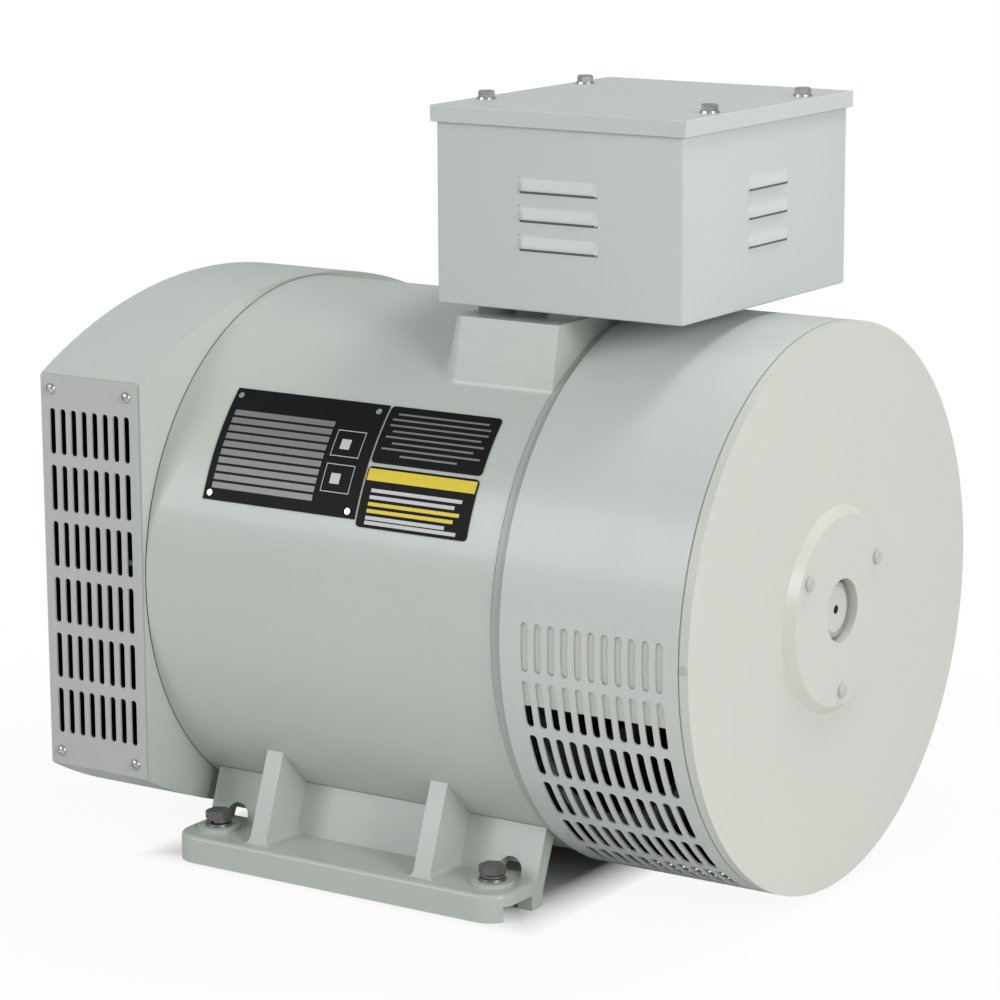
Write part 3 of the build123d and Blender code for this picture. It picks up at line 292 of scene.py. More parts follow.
dark_iron = finish("dark_iron", (0.05, 0.052, 0.055), 0.6, metal=0.3, mottle=0.2, broad=40, grain=((400, 0.05),))
lamination = finish("lamination_steel", (0.16, 0.16, 0.17), 0.5, metal=0.8, mottle=0.1, stretch=(60, 1, 1))
# painted shade: the varnished copper is darkened nearly to black, for the shade inside the machine
shaded_varnished_copper = finish(
    "shaded_varnished_copper", (0.06, 0.03, 0.02), 0.4, metal=0.3, mottle=0.25, broad=60, grain=((500, 0.2),)
)
brass = finish("brass", (0.70, 0.50, 0.22), 0.25, metal=1.0, mottle=0.08, broad=50)
cast_aluminium = finish("cast_aluminium", (0.50, 0.51, 0.52), 0.45, metal=1.0, mottle=0.08, grain=((300, 0.1),))
carbon = finish("carbon", (0.03, 0.03, 0.03), 0.55, mottle=0.2, broad=80, grain=((900, 0.03),))
bakelite = finish("bakelite", (0.09, 0.045, 0.03), 0.3, mottle=0.2, broad=80)
rubber = finish("rubber", (0.02, 0.02, 0.02), 0.65, mottle=0.1, broad=50, grain=((400, 0.05),))
spacer_rubber = finish("spacer_rubber", (0.42, 0.44, 0.42), 0.6, mottle=0.08, broad=50)
print_black = finish("print_black", (0.006, 0.006, 0.007), 0.5, mottle=0.2, broad=40, grain=((1200, 0.01),))
print_grey = finish("print_grey", (0.24, 0.24, 0.24), 0.4, metal=0.3, mottle=0.1, broad=200)
print_white = finish("print_white", (0.62, 0.62, 0.62), 0.4, mottle=0.05, broad=200)
print_yellow = finish("print_yellow", (0.80, 0.62, 0.02), 0.38, mottle=0.05, broad=60)
# painted shade: the underside of each louvre's lip, for the shadow beneath it
louvre_painted_shade = finish("louvre_painted_shade", (0.12, 0.125, 0.12), 0.8, mottle=0.1)


# the default colour, near black, is painted shade for the insides and the shadow lines
def masked(material, name, mask, colour=(0.008, 0.008, 0.009), rough=0.9, shine=0.0):
    """Copy of a finish that turns to another, non-metal colour and gloss where mask(x, y, z) is 1."""
    copy = material.copy()
    copy.name = name
    tree = copy.node_tree
    shader = tree.nodes["Principled BSDF"]
    where = tree.nodes.new("ShaderNodeTexCoord")
    x, y, z = split(tree, Field(tree, where.outputs["Object"]))
    here = mask(x, y, z - shaft_z)
    mix = tree.nodes.new("ShaderNodeMix")
    mix.data_type = "RGBA"
    tree.links.new(shader.inputs["Base Color"].links[0].from_socket, mix.inputs["A"])
    mix.inputs["B"].default_value = (*colour, 1)
    tree.links.new(here.socket, mix.inputs["Factor"])
    tree.links.new(mix.outputs["Result"], shader.inputs["Base Color"])
    gloss = Field(tree, shader.inputs["Roughness"].links[0].from_socket)
    changes = {"Roughness": rough, "Metallic": 0.0, "Specular IOR Level": shine, "Coat Weight": 0.0}
    for label, new in changes.items():
        old = gloss if label == "Roughness" else shader.inputs[label].default_value
        if old == new:  # the same all over, so the plain socket keeps it
            continue
        change = here * new + (here * -1.0 + 1.0) * old
        tree.links.new(change.socket, shader.inputs[label])
    return copy


def radius(a, b):
    return (a * a + b * b).math("SQRT")


rim_step = 8 * mm  # width of the rim at both ends that keeps its enamel before the painted shade inside
housing_x, frame_x0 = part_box("drive_housing")[0].x + rim_step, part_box("stator_frame")[0].x
frame_x1, face_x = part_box("slotted_band")[0].x - rim_step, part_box("slotted_band")[1].x
frame_r, crown_r, crown_z = 196 * mm, 400 * mm, 197.5 * mm
ring_x = frame_x1 + 8.4 * mm  # end of the ring between the frame and the slotted band
shade_line = -42.5 * mm  # painted shade: below this height from the shaft the bracket's wall is near black, for the dark openings behind the band


def shaded_inside_housing(x, y, z):
    """Painted shade on the inside of the arched housing: near black."""
    walls = y.math("ABSOLUTE").math("LESS_THAN", frame_r + 0.5 * mm)
    arch = radius(y, z.math("ABSOLUTE") + (crown_r - crown_z)).math("LESS_THAN", crown_r - 0.5 * mm)
    ends = x.math("GREATER_THAN", housing_x + 0.4 * mm) * x.math("LESS_THAN", frame_x0 - 0.3 * mm)
    return walls * arch * ends


def shaded_inside_bracket(x, y, z):
    """Painted shade on the inside of the non-drive-end bracket and on its wall below the shade line."""
    r = radius(y, z)
    shell = r.math("LESS_THAN", frame_r + 3.2 * mm) * z.math("LESS_THAN", shade_line)
    inner = shell.math("MAXIMUM", r.math("LESS_THAN", frame_r - 1.0 * mm))
    return inner * x.math("GREATER_THAN", ring_x) * x.math("LESS_THAN", face_x - 3.4 * mm)


def bracket_shade_and_seams(x, y, z):
    """Painted shade on the inside of the bracket, and painted shadow lines where the slotted band meets its rim and its
    end.
    """
    beside_band = x.math("GREATER_THAN", frame_x1 + 6.8 * mm) * x.math("LESS_THAN", ring_x)
    r = radius(y, z)
    on_rim = beside_band * r.math("GREATER_THAN", frame_r - 1.5 * mm)
    past_band = x.math("GREATER_THAN", face_x - 0.3 * mm) * x.math("LESS_THAN", face_x + 0.8 * mm)
    seam = past_band * r.math("GREATER_THAN", frame_r) * 0.5
    return shaded_inside_bracket(x, y, z).math("MAXIMUM", on_rim).math("MAXIMUM", seam)


def on_flange(x, y, z):
    """The ring of the bracket between the frame and the slotted band."""
    return x.math("LESS_THAN", ring_x)


def frame_seams_and_shade(x, y, z):
    """Hairline joints at both ends of the stator frame, and painted shade on its inside."""
    r = radius(y, z)
    end = x.math("LESS_THAN", frame_x0 + 0.7 * mm).math("MAXIMUM", x.math("GREATER_THAN", frame_x1 - 0.9 * mm))
    inside = r.math("LESS_THAN", frame_r - 2 * mm)
    return (end * r.math("LESS_THAN", frame_r + 0.3 * mm)).math("MAXIMUM", inside)


def shaft_end(x, y, z):
    """The far end of the shaft, which was painted over with the end plate."""
    r = radius(y, z)
    return x.math("GREATER_THAN", face_x - 30 * mm) * r.math("GREATER_THAN", 3.4 * mm) * r.math("LESS_THAN", 15.8 * mm)


# painted shade: the housing's enamel turns near black inside, for the shade behind the side plates
housing_enamel_and_shade = masked(cast_enamel, "housing_enamel_and_shade", shaded_inside_housing)
# the ring is the bracket's cast enamel, painted darker than the frame's for the shade it sits in
shaded_ring_enamel = masked(end_enamel, "shaded_ring_enamel", on_flange, (0.45, 0.49, 0.455), 0.4, shine=0.5)
# painted shade: the bracket turns near black inside and below the shade line, with painted shadow lines at the band
bracket_enamel_and_shade = masked(shaded_ring_enamel, "bracket_enamel_and_shade", bracket_shade_and_seams)
# painted shade: the frame's enamel turns near black inside; its hairline joints are dark too
frame_enamel_and_shade = masked(cast_enamel, "frame_enamel_and_shade", frame_seams_and_shade)
painted_shaft = masked(bright_steel, "painted_shaft", shaft_end, (0.60, 0.605, 0.565), 0.42, shine=0.5)
for dull in (print_black, rubber):
    dull.node_tree.nodes["Principled BSDF"].inputs["Specular IOR Level"].default_value = 0.15
print("finishes", len(bpy.data.materials))

# %% Finishes for the CAD nodes that stay
wears = {
    frame_enamel_and_shade: ("stator_frame",),
    housing_enamel_and_shade: ("drive_housing",),
    cast_enamel: ("de_bearing_cap",),
    bracket_enamel_and_shade: ("nde_bracket",),
    shaded_screw_enamel: ("bearing_cap_screws", "rim_screws"),
    zinc: ("housing_bolts", "nde_bracket_bolts", "brush_board_screws", "box_bolts", "de_cap_screws", "plate_rivets"),
    painted_shaft: ("shaft",),
    bright_steel: ("de_bearing_outer", "de_bearing_inner", "nde_bearing_outer", "nde_bearing_inner"),
    dark_iron: ("bearing_cap",),
    lamination: ("stator_core", "rotor_core"),
    shaded_varnished_copper: ("stator_windings", "field_coils"),
    brass: ("slip_rings", "brush_holders", "terminal_studs", "terminal_nuts"),
    cast_aluminium: ("fan", "rectifier"),
    carbon: ("brush_a", "brush_b"),
    bakelite: ("brush_board", "slip_ring_hub", "terminal_board"),
    rubber: ("entry_grommet",),
    spacer_rubber: ("box_spacers",),
    black_steel: ("foot_nuts", "brush_spring_a", "brush_spring_b"),
    print_black: ("rating_plate", "label_plate_upper", "label_plate_lower"),
}
for material, names in wears.items():
    for name in names:
        for slot in frame["nodes"][name].material_slots:
            slot.material = material
print("dressed CAD nodes", sum(len(names) for names in wears.values()))

# %% [markdown]
# ## Geometry Nodes in a few words
# Slots, screws, washers and louvres repeat, so node trees make them. Each copy could be modelled by hand,
# but a tree is a recipe with named sizes: the script wires it once, hands it a few points, and keeps the
# result as a plain mesh.

# %% Tree helpers


def link(name, mesh, material=None):
    """New object for a mesh, at the origin."""
    if material:
        mesh.materials.append(material)
    piece = bpy.data.objects.new(name, mesh)
    bpy.context.collection.objects.link(piece)
    return piece


def add(tree, kind, inputs=(), output=0, **settings):
    """Adds a node, fills its inputs by name or number, and returns one output as a field."""
    node = tree.nodes.new(kind)
    for key, value in settings.items():
        setattr(node, key, value)
    for key, value in dict(inputs).items():
        plug(tree, node.inputs[key], value)
    return Field(tree, node.outputs[output])


def start_tree(name, **sizes):
    """New tree with a geometry input and named inputs. Returns the tree and its inputs as fields."""
    tree = bpy.data.node_groups.new(name, "GeometryNodeTree")
    tree.interface.new_socket("Points", in_out="INPUT", socket_type="NodeSocketGeometry")
    for label, value in sizes.items():
        kind = "NodeSocketInt" if isinstance(value, int) else "NodeSocketFloat"
        tree.interface.new_socket(label, in_out="INPUT", socket_type=kind).default_value = value
    tree.interface.new_socket("Finish", in_out="INPUT", socket_type="NodeSocketMaterial")
    tree.interface.new_socket("Result", in_out="OUTPUT", socket_type="NodeSocketGeometry")
    source = tree.nodes.new("NodeGroupInput")
    return tree, {socket.name: Field(tree, socket) for socket in source.outputs if socket.name}


def end_tree(tree, result, material):
    """Realizes instances, sets the finish and closes the tree."""
    real = add(tree, "GeometryNodeRealizeInstances", {0: result})
    dressed = add(tree, "GeometryNodeSetMaterial", {"Geometry": real, "Material": material})
    tree.links.new(dressed.socket, tree.nodes.new("NodeGroupOutput").inputs[0])


def xyz(tree, x=0.0, y=0.0, z=0.0):
    return add(tree, "ShaderNodeCombineXYZ", {"X": x, "Y": y, "Z": z})


def join(tree, *parts):
    node = tree.nodes.new("GeometryNodeJoinGeometry")
    for part in parts:
        tree.links.new(part.socket, node.inputs[0])
    return Field(tree, node.outputs[0])


def moved(tree, geometry, offset):
    return add(tree, "GeometryNodeTransform", {"Geometry": geometry, "Translation": offset})


def bake(piece):
    """Turns the modifiers of a piece into plain mesh."""
    evaluated = piece.evaluated_get(bpy.context.evaluated_depsgraph_get())
    mesh = bpy.data.meshes.new_from_object(evaluated)
    piece.modifiers.clear()
    piece.data = mesh


def grow(name, tree, material, places, **sizes):
    """Runs a tree on (point, direction) places and keeps the result as a plain mesh piece."""
    seeds = bpy.data.meshes.new(name)
    seeds.from_pydata([point for point, _ in places], [], [])
    ways = seeds.attributes.new("way", "FLOAT_VECTOR", "POINT")
    for item, (_, way) in zip(ways.data, places):
        item.vector = way
    piece = link(name, seeds)
    modifier = piece.modifiers.new("tree", "NODES")
    modifier.node_group = tree
    sizes["Finish"] = material
    for item in tree.interface.items_tree:
        if item.in_out == "INPUT" and item.name in sizes:
            modifier[item.identifier] = sizes[item.name]
    bake(piece)
    mesh = piece.data
    if mesh.materials[0] is None:  # the seeds wore nothing, which leaves an empty slot before the finish
        mesh.materials.pop(index=0)
        mesh.polygons.foreach_set("material_index", [0] * len(mesh.polygons))
    print(name, "faces", len(mesh.polygons))
    return piece


at_origin = [((0, 0, 0), (0, 0, 1))]  # places with one copy, upright


def smooth(piece, angle=35):
    """Shades smooth except over edges sharper than the angle."""
    piece.data.shade_smooth()
    piece.data.set_sharp_from_angle(angle=math.radians(angle))


def wall(piece, thickness):
    """Gives a sheet its thickness, inwards."""
    tidy = bmesh.new()
    tidy.from_mesh(piece.data)
    bmesh.ops.remove_doubles(tidy, verts=tidy.verts, dist=0.01 * mm)
    bmesh.ops.recalc_face_normals(tidy, faces=tidy.faces)
    tidy.to_mesh(piece.data)
    tidy.free()
    solid = piece.modifiers.new("wall", "SOLIDIFY")
    solid.thickness, solid.offset, solid.use_even_offset = thickness, -1.0, True
    bake(piece)


def settle(piece, body, *nodes):
    """A piece rides with its body and stands for the CAD nodes it replaces."""
    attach(piece, body)
    if nodes:
        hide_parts(*nodes)


# %% [markdown]
# ## Perforated sheet
# The band round the non-drive end and the two side plates are punched sheet. One tile holds one slot: the
# tile's outline and the slot's outline are filled together, which leaves the hole. The tile is repeated
# on a grid, plain strips close the margins, and for the band a last step rolls the flat sheet into a drum.

# %% Perforated sheet tree


def flat_grid(tree, size_x, size_y, points_x, points_y):
    """Flat sheet with that many points each way."""
    sizes = {"Size X": size_x, "Size Y": size_y, "Vertices X": points_x, "Vertices Y": points_y}
    return add(tree, "GeometryNodeMeshGrid", sizes)


def slot_tile(tree, pitch_x, pitch_y, slot_x, slot_y, corner):
    """One tile of sheet round one slot, its sides cut in four so that it can be rolled."""
    edge = add(tree, "GeometryNodeCurvePrimitiveQuadrilateral", {"Width": pitch_x, "Height": pitch_y})
    edge = add(tree, "GeometryNodeSubdivideCurve", {"Curve": edge, "Cuts": 3})
    hole = add(tree, "GeometryNodeCurvePrimitiveQuadrilateral", {"Width": slot_x, "Height": slot_y})
    round_ends = {"Curve": hole, "Radius": corner, "Count": 3, "Limit Radius": True}
    hole = add(tree, "GeometryNodeFilletCurve", round_ends, mode="POLY")
    hole = add(tree, "GeometryNodeSubdivideCurve", {"Curve": hole, "Cuts": 3})
    return add(tree, "GeometryNodeFillCurve", {"Curve": join(tree, edge, hole)}, mode="TRIANGLES")


def on_grid(tree, tile, columns, rows, pitch_x, pitch_y):
    """Repeats a tile on a grid centred on the origin."""
    grid = flat_grid(tree, (columns - 1) * pitch_x, (rows - 1) * pitch_y, columns, rows)
    copies = add(tree, "GeometryNodeInstanceOnPoints", {"Points": grid, "Instance": tile})
    return add(tree, "GeometryNodeRealizeInstances", {0: copies})


def strip(tree, width, height, segments, x):
    """Plain margin beside the slots, cut to match the tiles."""
    return moved(tree, flat_grid(tree, width, height, 2, segments + 1), xyz(tree, x))


def weld(tree, geometry):
    return add(tree, "GeometryNodeMergeByDistance", {"Geometry": geometry, "Distance": 0.02 * mm})


sizes = {"Columns": 11, "Rows": 16, "Plain Rows": 15, "Pitch": 0.01, "Step": 0.2, "Slot Width": 0.005}
sizes |= {"Slot Length": 0.03, "Corner": 0.001, "Radius": 0.2, "Low Margin": 0.01, "High Margin": 0.01, "Start": 0.0}
band_tree, b = start_tree("perforated_band", **sizes)
one = slot_tile(band_tree, b["Pitch"], b["Step"] * b["Radius"], b["Slot Width"], b["Slot Length"], b["Corner"])
slots_arc = b["Rows"] * b["Step"]
plain_arc = slots_arc * -1 + math.tau
field = on_grid(band_tree, one, b["Columns"], b["Rows"], b["Pitch"], b["Step"] * b["Radius"])
field_length, plain_width = b["Columns"] * b["Pitch"], plain_arc * b["Radius"]
plain = flat_grid(band_tree, field_length, plain_width, b["Columns"] * 4 + 1, b["Plain Rows"] * 4 + 1)
parts = [field, moved(band_tree, plain, xyz(band_tree, 0.0, b["Radius"] * math.pi))]
half_field = b["Columns"] * b["Pitch"] / 2
for margin, way in ((b["Low Margin"], -1), (b["High Margin"], 1)):
    x = (half_field + margin / 2) * way
    parts.append(strip(band_tree, margin, slots_arc * b["Radius"], b["Rows"] * 4, x))
    plain_strip = strip(band_tree, margin, plain_arc * b["Radius"], b["Plain Rows"] * 4, x)
    parts.append(moved(band_tree, plain_strip, xyz(band_tree, 0.0, b["Radius"] * math.pi)))
flat = weld(band_tree, join(band_tree, *parts))
at = add(band_tree, "GeometryNodeInputPosition")
along_shaft, round_shaft, _ = split(band_tree, at)
angle = round_shaft / b["Radius"] + b["Start"]
rolled = xyz(band_tree, along_shaft, angle.math("COSINE") * b["Radius"], angle.math("SINE") * b["Radius"])
drum = add(band_tree, "GeometryNodeSetPosition", {"Geometry": flat, "Position": rolled})
end_tree(band_tree, weld(band_tree, drum), b["Finish"])

# %% The band round the non-drive end
band_low, band_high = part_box("slotted_band")
band_radius = (band_high.y - band_low.y) / 2
slot_columns, slot_rows, slot_pitch = 11, 16, 10.42 * mm
slot_step, first_slot = math.radians(11.6), math.radians(180.3)
field_middle = 223.3 * mm
half_field = slot_columns * slot_pitch / 2
seam = 0.35 * mm
band = grow(
    "slotted_band_sheet", band_tree, sheet_enamel, at_origin,
    **{"Columns": slot_columns, "Rows": slot_rows, "Pitch": slot_pitch, "Step": slot_step,
       "Slot Width": 6.2 * mm, "Slot Length": 34.2 * mm, "Corner": 2.9 * mm, "Radius": band_radius,
       "Low Margin": field_middle - half_field - band_low.x - seam,
       "High Margin": band_high.x - seam - field_middle - half_field,
       "Start": first_slot + (slot_rows - 1) / 2 * slot_step},
)
band.data.transform(Matrix.Translation((field_middle, 0, shaft_z)))
wall(band, 1.5 * mm)
smooth(band)
settle(band, "stator", "slotted_band")

# %% The two side plates of the drive-end housing
sizes = {"Columns": 8, "Rows": 6, "Pitch X": 0.01, "Pitch Y": 0.04, "Slot Width": 0.004, "Slot Length": 0.03}
sizes |= {"Corner": 0.001, "Side": 0.005, "End": 0.02}
plate_tree, p = start_tree("perforated_plate", **sizes)
one = slot_tile(plate_tree, p["Pitch X"], p["Pitch Y"], p["Slot Width"], p["Slot Length"], p["Corner"])
parts = [on_grid(plate_tree, one, p["Columns"], p["Rows"], p["Pitch X"], p["Pitch Y"])]
across, along = p["Columns"] * p["Pitch X"], p["Rows"] * p["Pitch Y"]
for way in (-1, 1):
    parts.append(strip(plate_tree, p["Side"], along, p["Rows"] * 4, (across + p["Side"]) / 2 * way))
    end = flat_grid(plate_tree, across, p["End"], p["Columns"] * 4 + 1, 2)
    parts.append(moved(plate_tree, end, xyz(plate_tree, 0.0, (along + p["End"]) / 2 * way)))
    for side in (-1, 1):
        corner = flat_grid(plate_tree, p["Side"], p["End"], 2, 2)
        place = xyz(plate_tree, (across + p["Side"]) / 2 * side, (along + p["End"]) / 2 * way)
        parts.append(moved(plate_tree, corner, place))
end_tree(plate_tree, weld(plate_tree, join(plate_tree, *parts)), p["Finish"])

grille_columns, grille_rows, grille_pitch_x, grille_pitch_z = 8, 6, 9.7 * mm, 41.5 * mm
for side, name in ((-1, "near"), (1, "far")):
    low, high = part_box(f"grille_plate_{name}")
    plate = grow(
        f"side_plate_{name}", plate_tree, grille_enamel, at_origin,
        **{"Columns": grille_columns, "Rows": grille_rows, "Pitch X": grille_pitch_x, "Pitch Y": grille_pitch_z,
           "Slot Width": 5.2 * mm, "Slot Length": 33.5 * mm, "Corner": 2.3 * mm,
           "Side": (high.x - low.x - grille_columns * grille_pitch_x) / 2,
           "End": (high.z - low.z - grille_rows * grille_pitch_z) / 2},
    )
    upright = Matrix(((1, 0, 0), (0, 0, side), (0, 1, 0))).to_4x4()
    outside = low.y if side < 0 else high.y
    plate.data.transform(Matrix.Translation(((low.x + high.x) / 2, outside, (low.z + high.z) / 2)) @ upright)
    wall(plate, 2.0 * mm)
    normal_out = sum(face.normal.y * face.area for face in plate.data.polygons) * side
    if normal_out < 0:
        plate.data.flip_normals()
    bevel = plate.modifiers.new("edge", "BEVEL")
    bevel.width, bevel.segments, bevel.limit_method, bevel.angle_limit = 0.25 * mm, 1, "ANGLE", math.radians(60)
    settle(plate, "stator", f"grille_plate_{name}")

# %% [markdown]
# ## Screws and washers
# A fastener is a stack of simple solids: a six-sided head with a bevelled crown, and a round flange or
# washer under it. A pan head is half a flattened ball with a cross cut into it. The tree turns each copy
# so that its axis follows the direction stored at its point, and gives it a random turn about that axis,
# because nobody lines up the flats when tightening.

# %% Fastener trees
turn_seed = 7


def stand(tree, shape, points):
    """One copy of a shape at each point, its axis along the point's own direction, at a random turn."""
    way = add(tree, "GeometryNodeInputNamedAttribute", {"Name": "way"}, data_type="FLOAT_VECTOR")
    aligned = add(tree, "FunctionNodeAlignRotationToVector", {"Vector": way}, axis="Z")
    spin = tree.nodes.new("FunctionNodeRandomValue")
    spin.data_type = "FLOAT"
    for socket in spin.inputs:
        if socket.name == "Max" and socket.type == "VALUE":
            socket.default_value = math.tau
        if socket.name == "Seed":
            socket.default_value = turn_seed
    value = next(o for o in spin.outputs if o.type == "VALUE")
    about = add(tree, "FunctionNodeAxisAngleToRotation", {"Axis": (0, 0, 1), "Angle": Field(tree, value)})
    rotation = add(tree, "FunctionNodeRotateRotation", {0: aligned, 1: about}, rotation_space="LOCAL")
    return add(tree, "GeometryNodeInstanceOnPoints", {"Points": points, "Instance": shape, "Rotation": rotation})


def tapered(tree, sides, low, high, z0, height):
    """Cone or cylinder that starts at z0, with its two radii."""
    sizes = {"Vertices": sides, "Radius Bottom": low, "Radius Top": high, "Depth": height}
    return moved(tree, add(tree, "GeometryNodeMeshCone", sizes), xyz(tree, 0.0, 0.0, z0))


def cut(tree, body, tool):
    """Takes one closed shape out of another."""
    shapes = {"Mesh 1": body, "Mesh 2": tool}
    return add(tree, "GeometryNodeMeshBoolean", shapes, operation="DIFFERENCE", solver="EXACT")


sizes = {"Corners": 0.006, "Height": 0.004, "Flange": 0.007, "Flange Height": 0.001}
hex_tree, h = start_tree("hexagon_head", **sizes)
crown = h["Height"] * 0.22
stem = h["Height"] - crown
shape = join(
    hex_tree,
    tapered(hex_tree, 32, h["Flange"], h["Flange"] * 0.93, 0.0, h["Flange Height"]),
    tapered(hex_tree, 6, h["Corners"], h["Corners"], h["Flange Height"], stem),
    tapered(hex_tree, 6, h["Corners"], h["Corners"] * 0.86, h["Flange Height"] + stem, crown),
)
end_tree(hex_tree, stand(hex_tree, shape, h["Points"]), h["Finish"])

pan_tree, s = start_tree("cross_recess_pan_head", **{"Radius": 0.004, "Height": 0.0026, "Recess": 0.0022})
dome = add(pan_tree, "GeometryNodeMeshUVSphere", {"Segments": 28, "Rings": 14, "Radius": s["Radius"]})
flattened = xyz(pan_tree, 1.0, 1.0, s["Height"] / s["Radius"])
dome = add(pan_tree, "GeometryNodeTransform", {"Geometry": dome, "Scale": flattened})
base = add(pan_tree, "GeometryNodeMeshCube", {"Size": xyz(pan_tree, 0.05, 0.05, 0.05)})
dome = cut(pan_tree, dome, moved(pan_tree, base, (0, 0, -0.025)))
bars = []
for wide, deep in ((s["Recess"] * 2, s["Recess"] * 0.42), (s["Recess"] * 0.42, s["Recess"] * 2)):
    bar = add(pan_tree, "GeometryNodeMeshCube", {"Size": xyz(pan_tree, wide, deep, s["Height"])})
    bars.append(moved(pan_tree, bar, xyz(pan_tree, 0.0, 0.0, s["Height"])))
for bar in bars:
    dome = cut(pan_tree, dome, bar)
end_tree(pan_tree, stand(pan_tree, dome, s["Points"]), s["Finish"])

split_tree, w = start_tree("split_washer", **{"Radius": 0.008, "Thickness": 0.0025, "Width": 0.003})
not_quite_round = 0.955  # of a turn, which leaves the split open
ring = add(
    split_tree, "GeometryNodeCurveSpiral",
    {"Resolution": 48, "Rotations": not_quite_round, "Start Radius": w["Radius"], "End Radius": w["Radius"],
     "Height": w["Thickness"] * 0.35},
)
section = add(
    split_tree, "GeometryNodeCurvePrimitiveQuadrilateral", {"Width": w["Width"], "Height": w["Thickness"] * 0.75}
)
ring = add(split_tree, "GeometryNodeCurveToMesh", {"Curve": ring, "Profile Curve": section, "Fill Caps": True})
ring = moved(split_tree, ring, xyz(split_tree, 0.0, 0.0, w["Thickness"] * 0.4))
end_tree(split_tree, stand(split_tree, ring, w["Points"]), w["Finish"])

# %% Places taken from the CAD pieces


def corners(node, inset_x, inset_y, z):
    """Places over the four corners of a node's box."""
    low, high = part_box(node)
    xs, ys = (low.x + inset_x, high.x - inset_x), (low.y + inset_y, high.y - inset_y)
    return [((x, y, z), (0, 0, 1)) for x in xs for y in ys]


lid_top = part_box("box_lid")[1].z
flange_m6, foot_washer = 7.0 * mm, 10.0 * mm
lid_bolts = grow(
    "lid_flange_bolts", hex_tree, zinc, corners("lid_bolts", flange_m6, flange_m6, lid_top),
    **{"Corners": 5.77 * mm, "Height": 4.6 * mm, "Flange": flange_m6, "Flange Height": 1.5 * mm},
)
settle(lid_bolts, "stator", "lid_bolts")

low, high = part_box("foot_washers")
foot_bolts = grow(
    "foot_hexagon_bolts", hex_tree, black_steel, corners("foot_washers", foot_washer, foot_washer, high.z + 2.5 * mm),
    **{"Corners": 9.8 * mm, "Height": 6.3 * mm, "Flange": 8.2 * mm, "Flange Height": 0.3 * mm},
)
settle(foot_bolts, "stator", "foot_bolts")
flat_washers = grow(
    "foot_flat_washers", hex_tree, black_steel, corners("foot_washers", foot_washer, foot_washer, low.z),
    **{"Corners": 9.2 * mm, "Height": 0.1 * mm, "Flange": foot_washer, "Flange Height": high.z - low.z - 0.1 * mm},
)
settle(flat_washers, "stator", "foot_washers")
spring_washers = grow(
    "foot_spring_rings", split_tree, black_steel, corners("foot_washers", foot_washer, foot_washer, high.z),
    **{"Radius": 7.3 * mm, "Thickness": 2.4 * mm, "Width": 3.2 * mm},
)
settle(spring_washers, "stator", "foot_spring_washers")

low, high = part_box("grille_screws")
pan_radius, pan_height = 4.2 * mm, 2.6 * mm
pan_places = []
for side in (-1, 1):
    y = (low.y + pan_height) if side < 0 else (high.y - pan_height)
    for x in (low.x + pan_radius, high.x - pan_radius):
        for z in (low.z + pan_radius, high.z - pan_radius):
            pan_places.append(((x, y, z), (0, side, 0)))
grille_screws = grow(
    "grille_pan_screws", pan_tree, zinc, pan_places, **{"Radius": pan_radius, "Height": pan_height, "Recess": 2.3 * mm}
)
smooth(grille_screws, 40)
settle(grille_screws, "stator", "grille_screws")

# %% [markdown]
# ## Terminal box
# A folded sheet box with a loose lid. The walls turn through small bend radii, the lid's four lips hang
# down over them and leave a hairline gap at each corner, and pressed louvres let air through. Cubes would
# do for a block, but sheet is best made as a surface with its bends, which Solidify then gives a thickness.

# %% Box walls


def sheet_box(name, low, high, radius, material):
    """Sheet box from its outer corners, open above, with rounded bends."""
    shell = bmesh.new()
    bmesh.ops.create_cube(shell, size=1.0)
    for vertex in shell.verts:
        vertex.co = Vector([(a + b) / 2 + c * (b - a) for a, b, c in zip(low, high, vertex.co)])
    top = [face for face in shell.faces if face.normal.z > 0.9]
    bmesh.ops.delete(shell, geom=top, context="FACES_ONLY")
    bends = [edge for edge in shell.edges if len(edge.link_faces) == 2]
    bmesh.ops.bevel(shell, geom=bends, offset=radius, segments=4, profile=0.5, affect="EDGES")
    mesh = bpy.data.meshes.new(name)
    shell.to_mesh(mesh)
    shell.free()
    return link(name, mesh, material)


sheet = 1.6 * mm
low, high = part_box("terminal_box")
hood = 4.0 * mm  # how far the louvres stand out from the walls
body_low = Vector((low.x + hood, low.y + hood, low.z))
body_high = Vector((high.x - hood, high.y - hood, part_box("box_lid")[1].z - sheet))
box_walls = sheet_box("box_walls", body_low, body_high, 2.0 * mm, sheet_enamel)
wall(box_walls, sheet)
smooth(box_walls)
settle(box_walls, "stator", "terminal_box")

# %% Lid with its lips
lid_low, lid_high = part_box("box_lid")


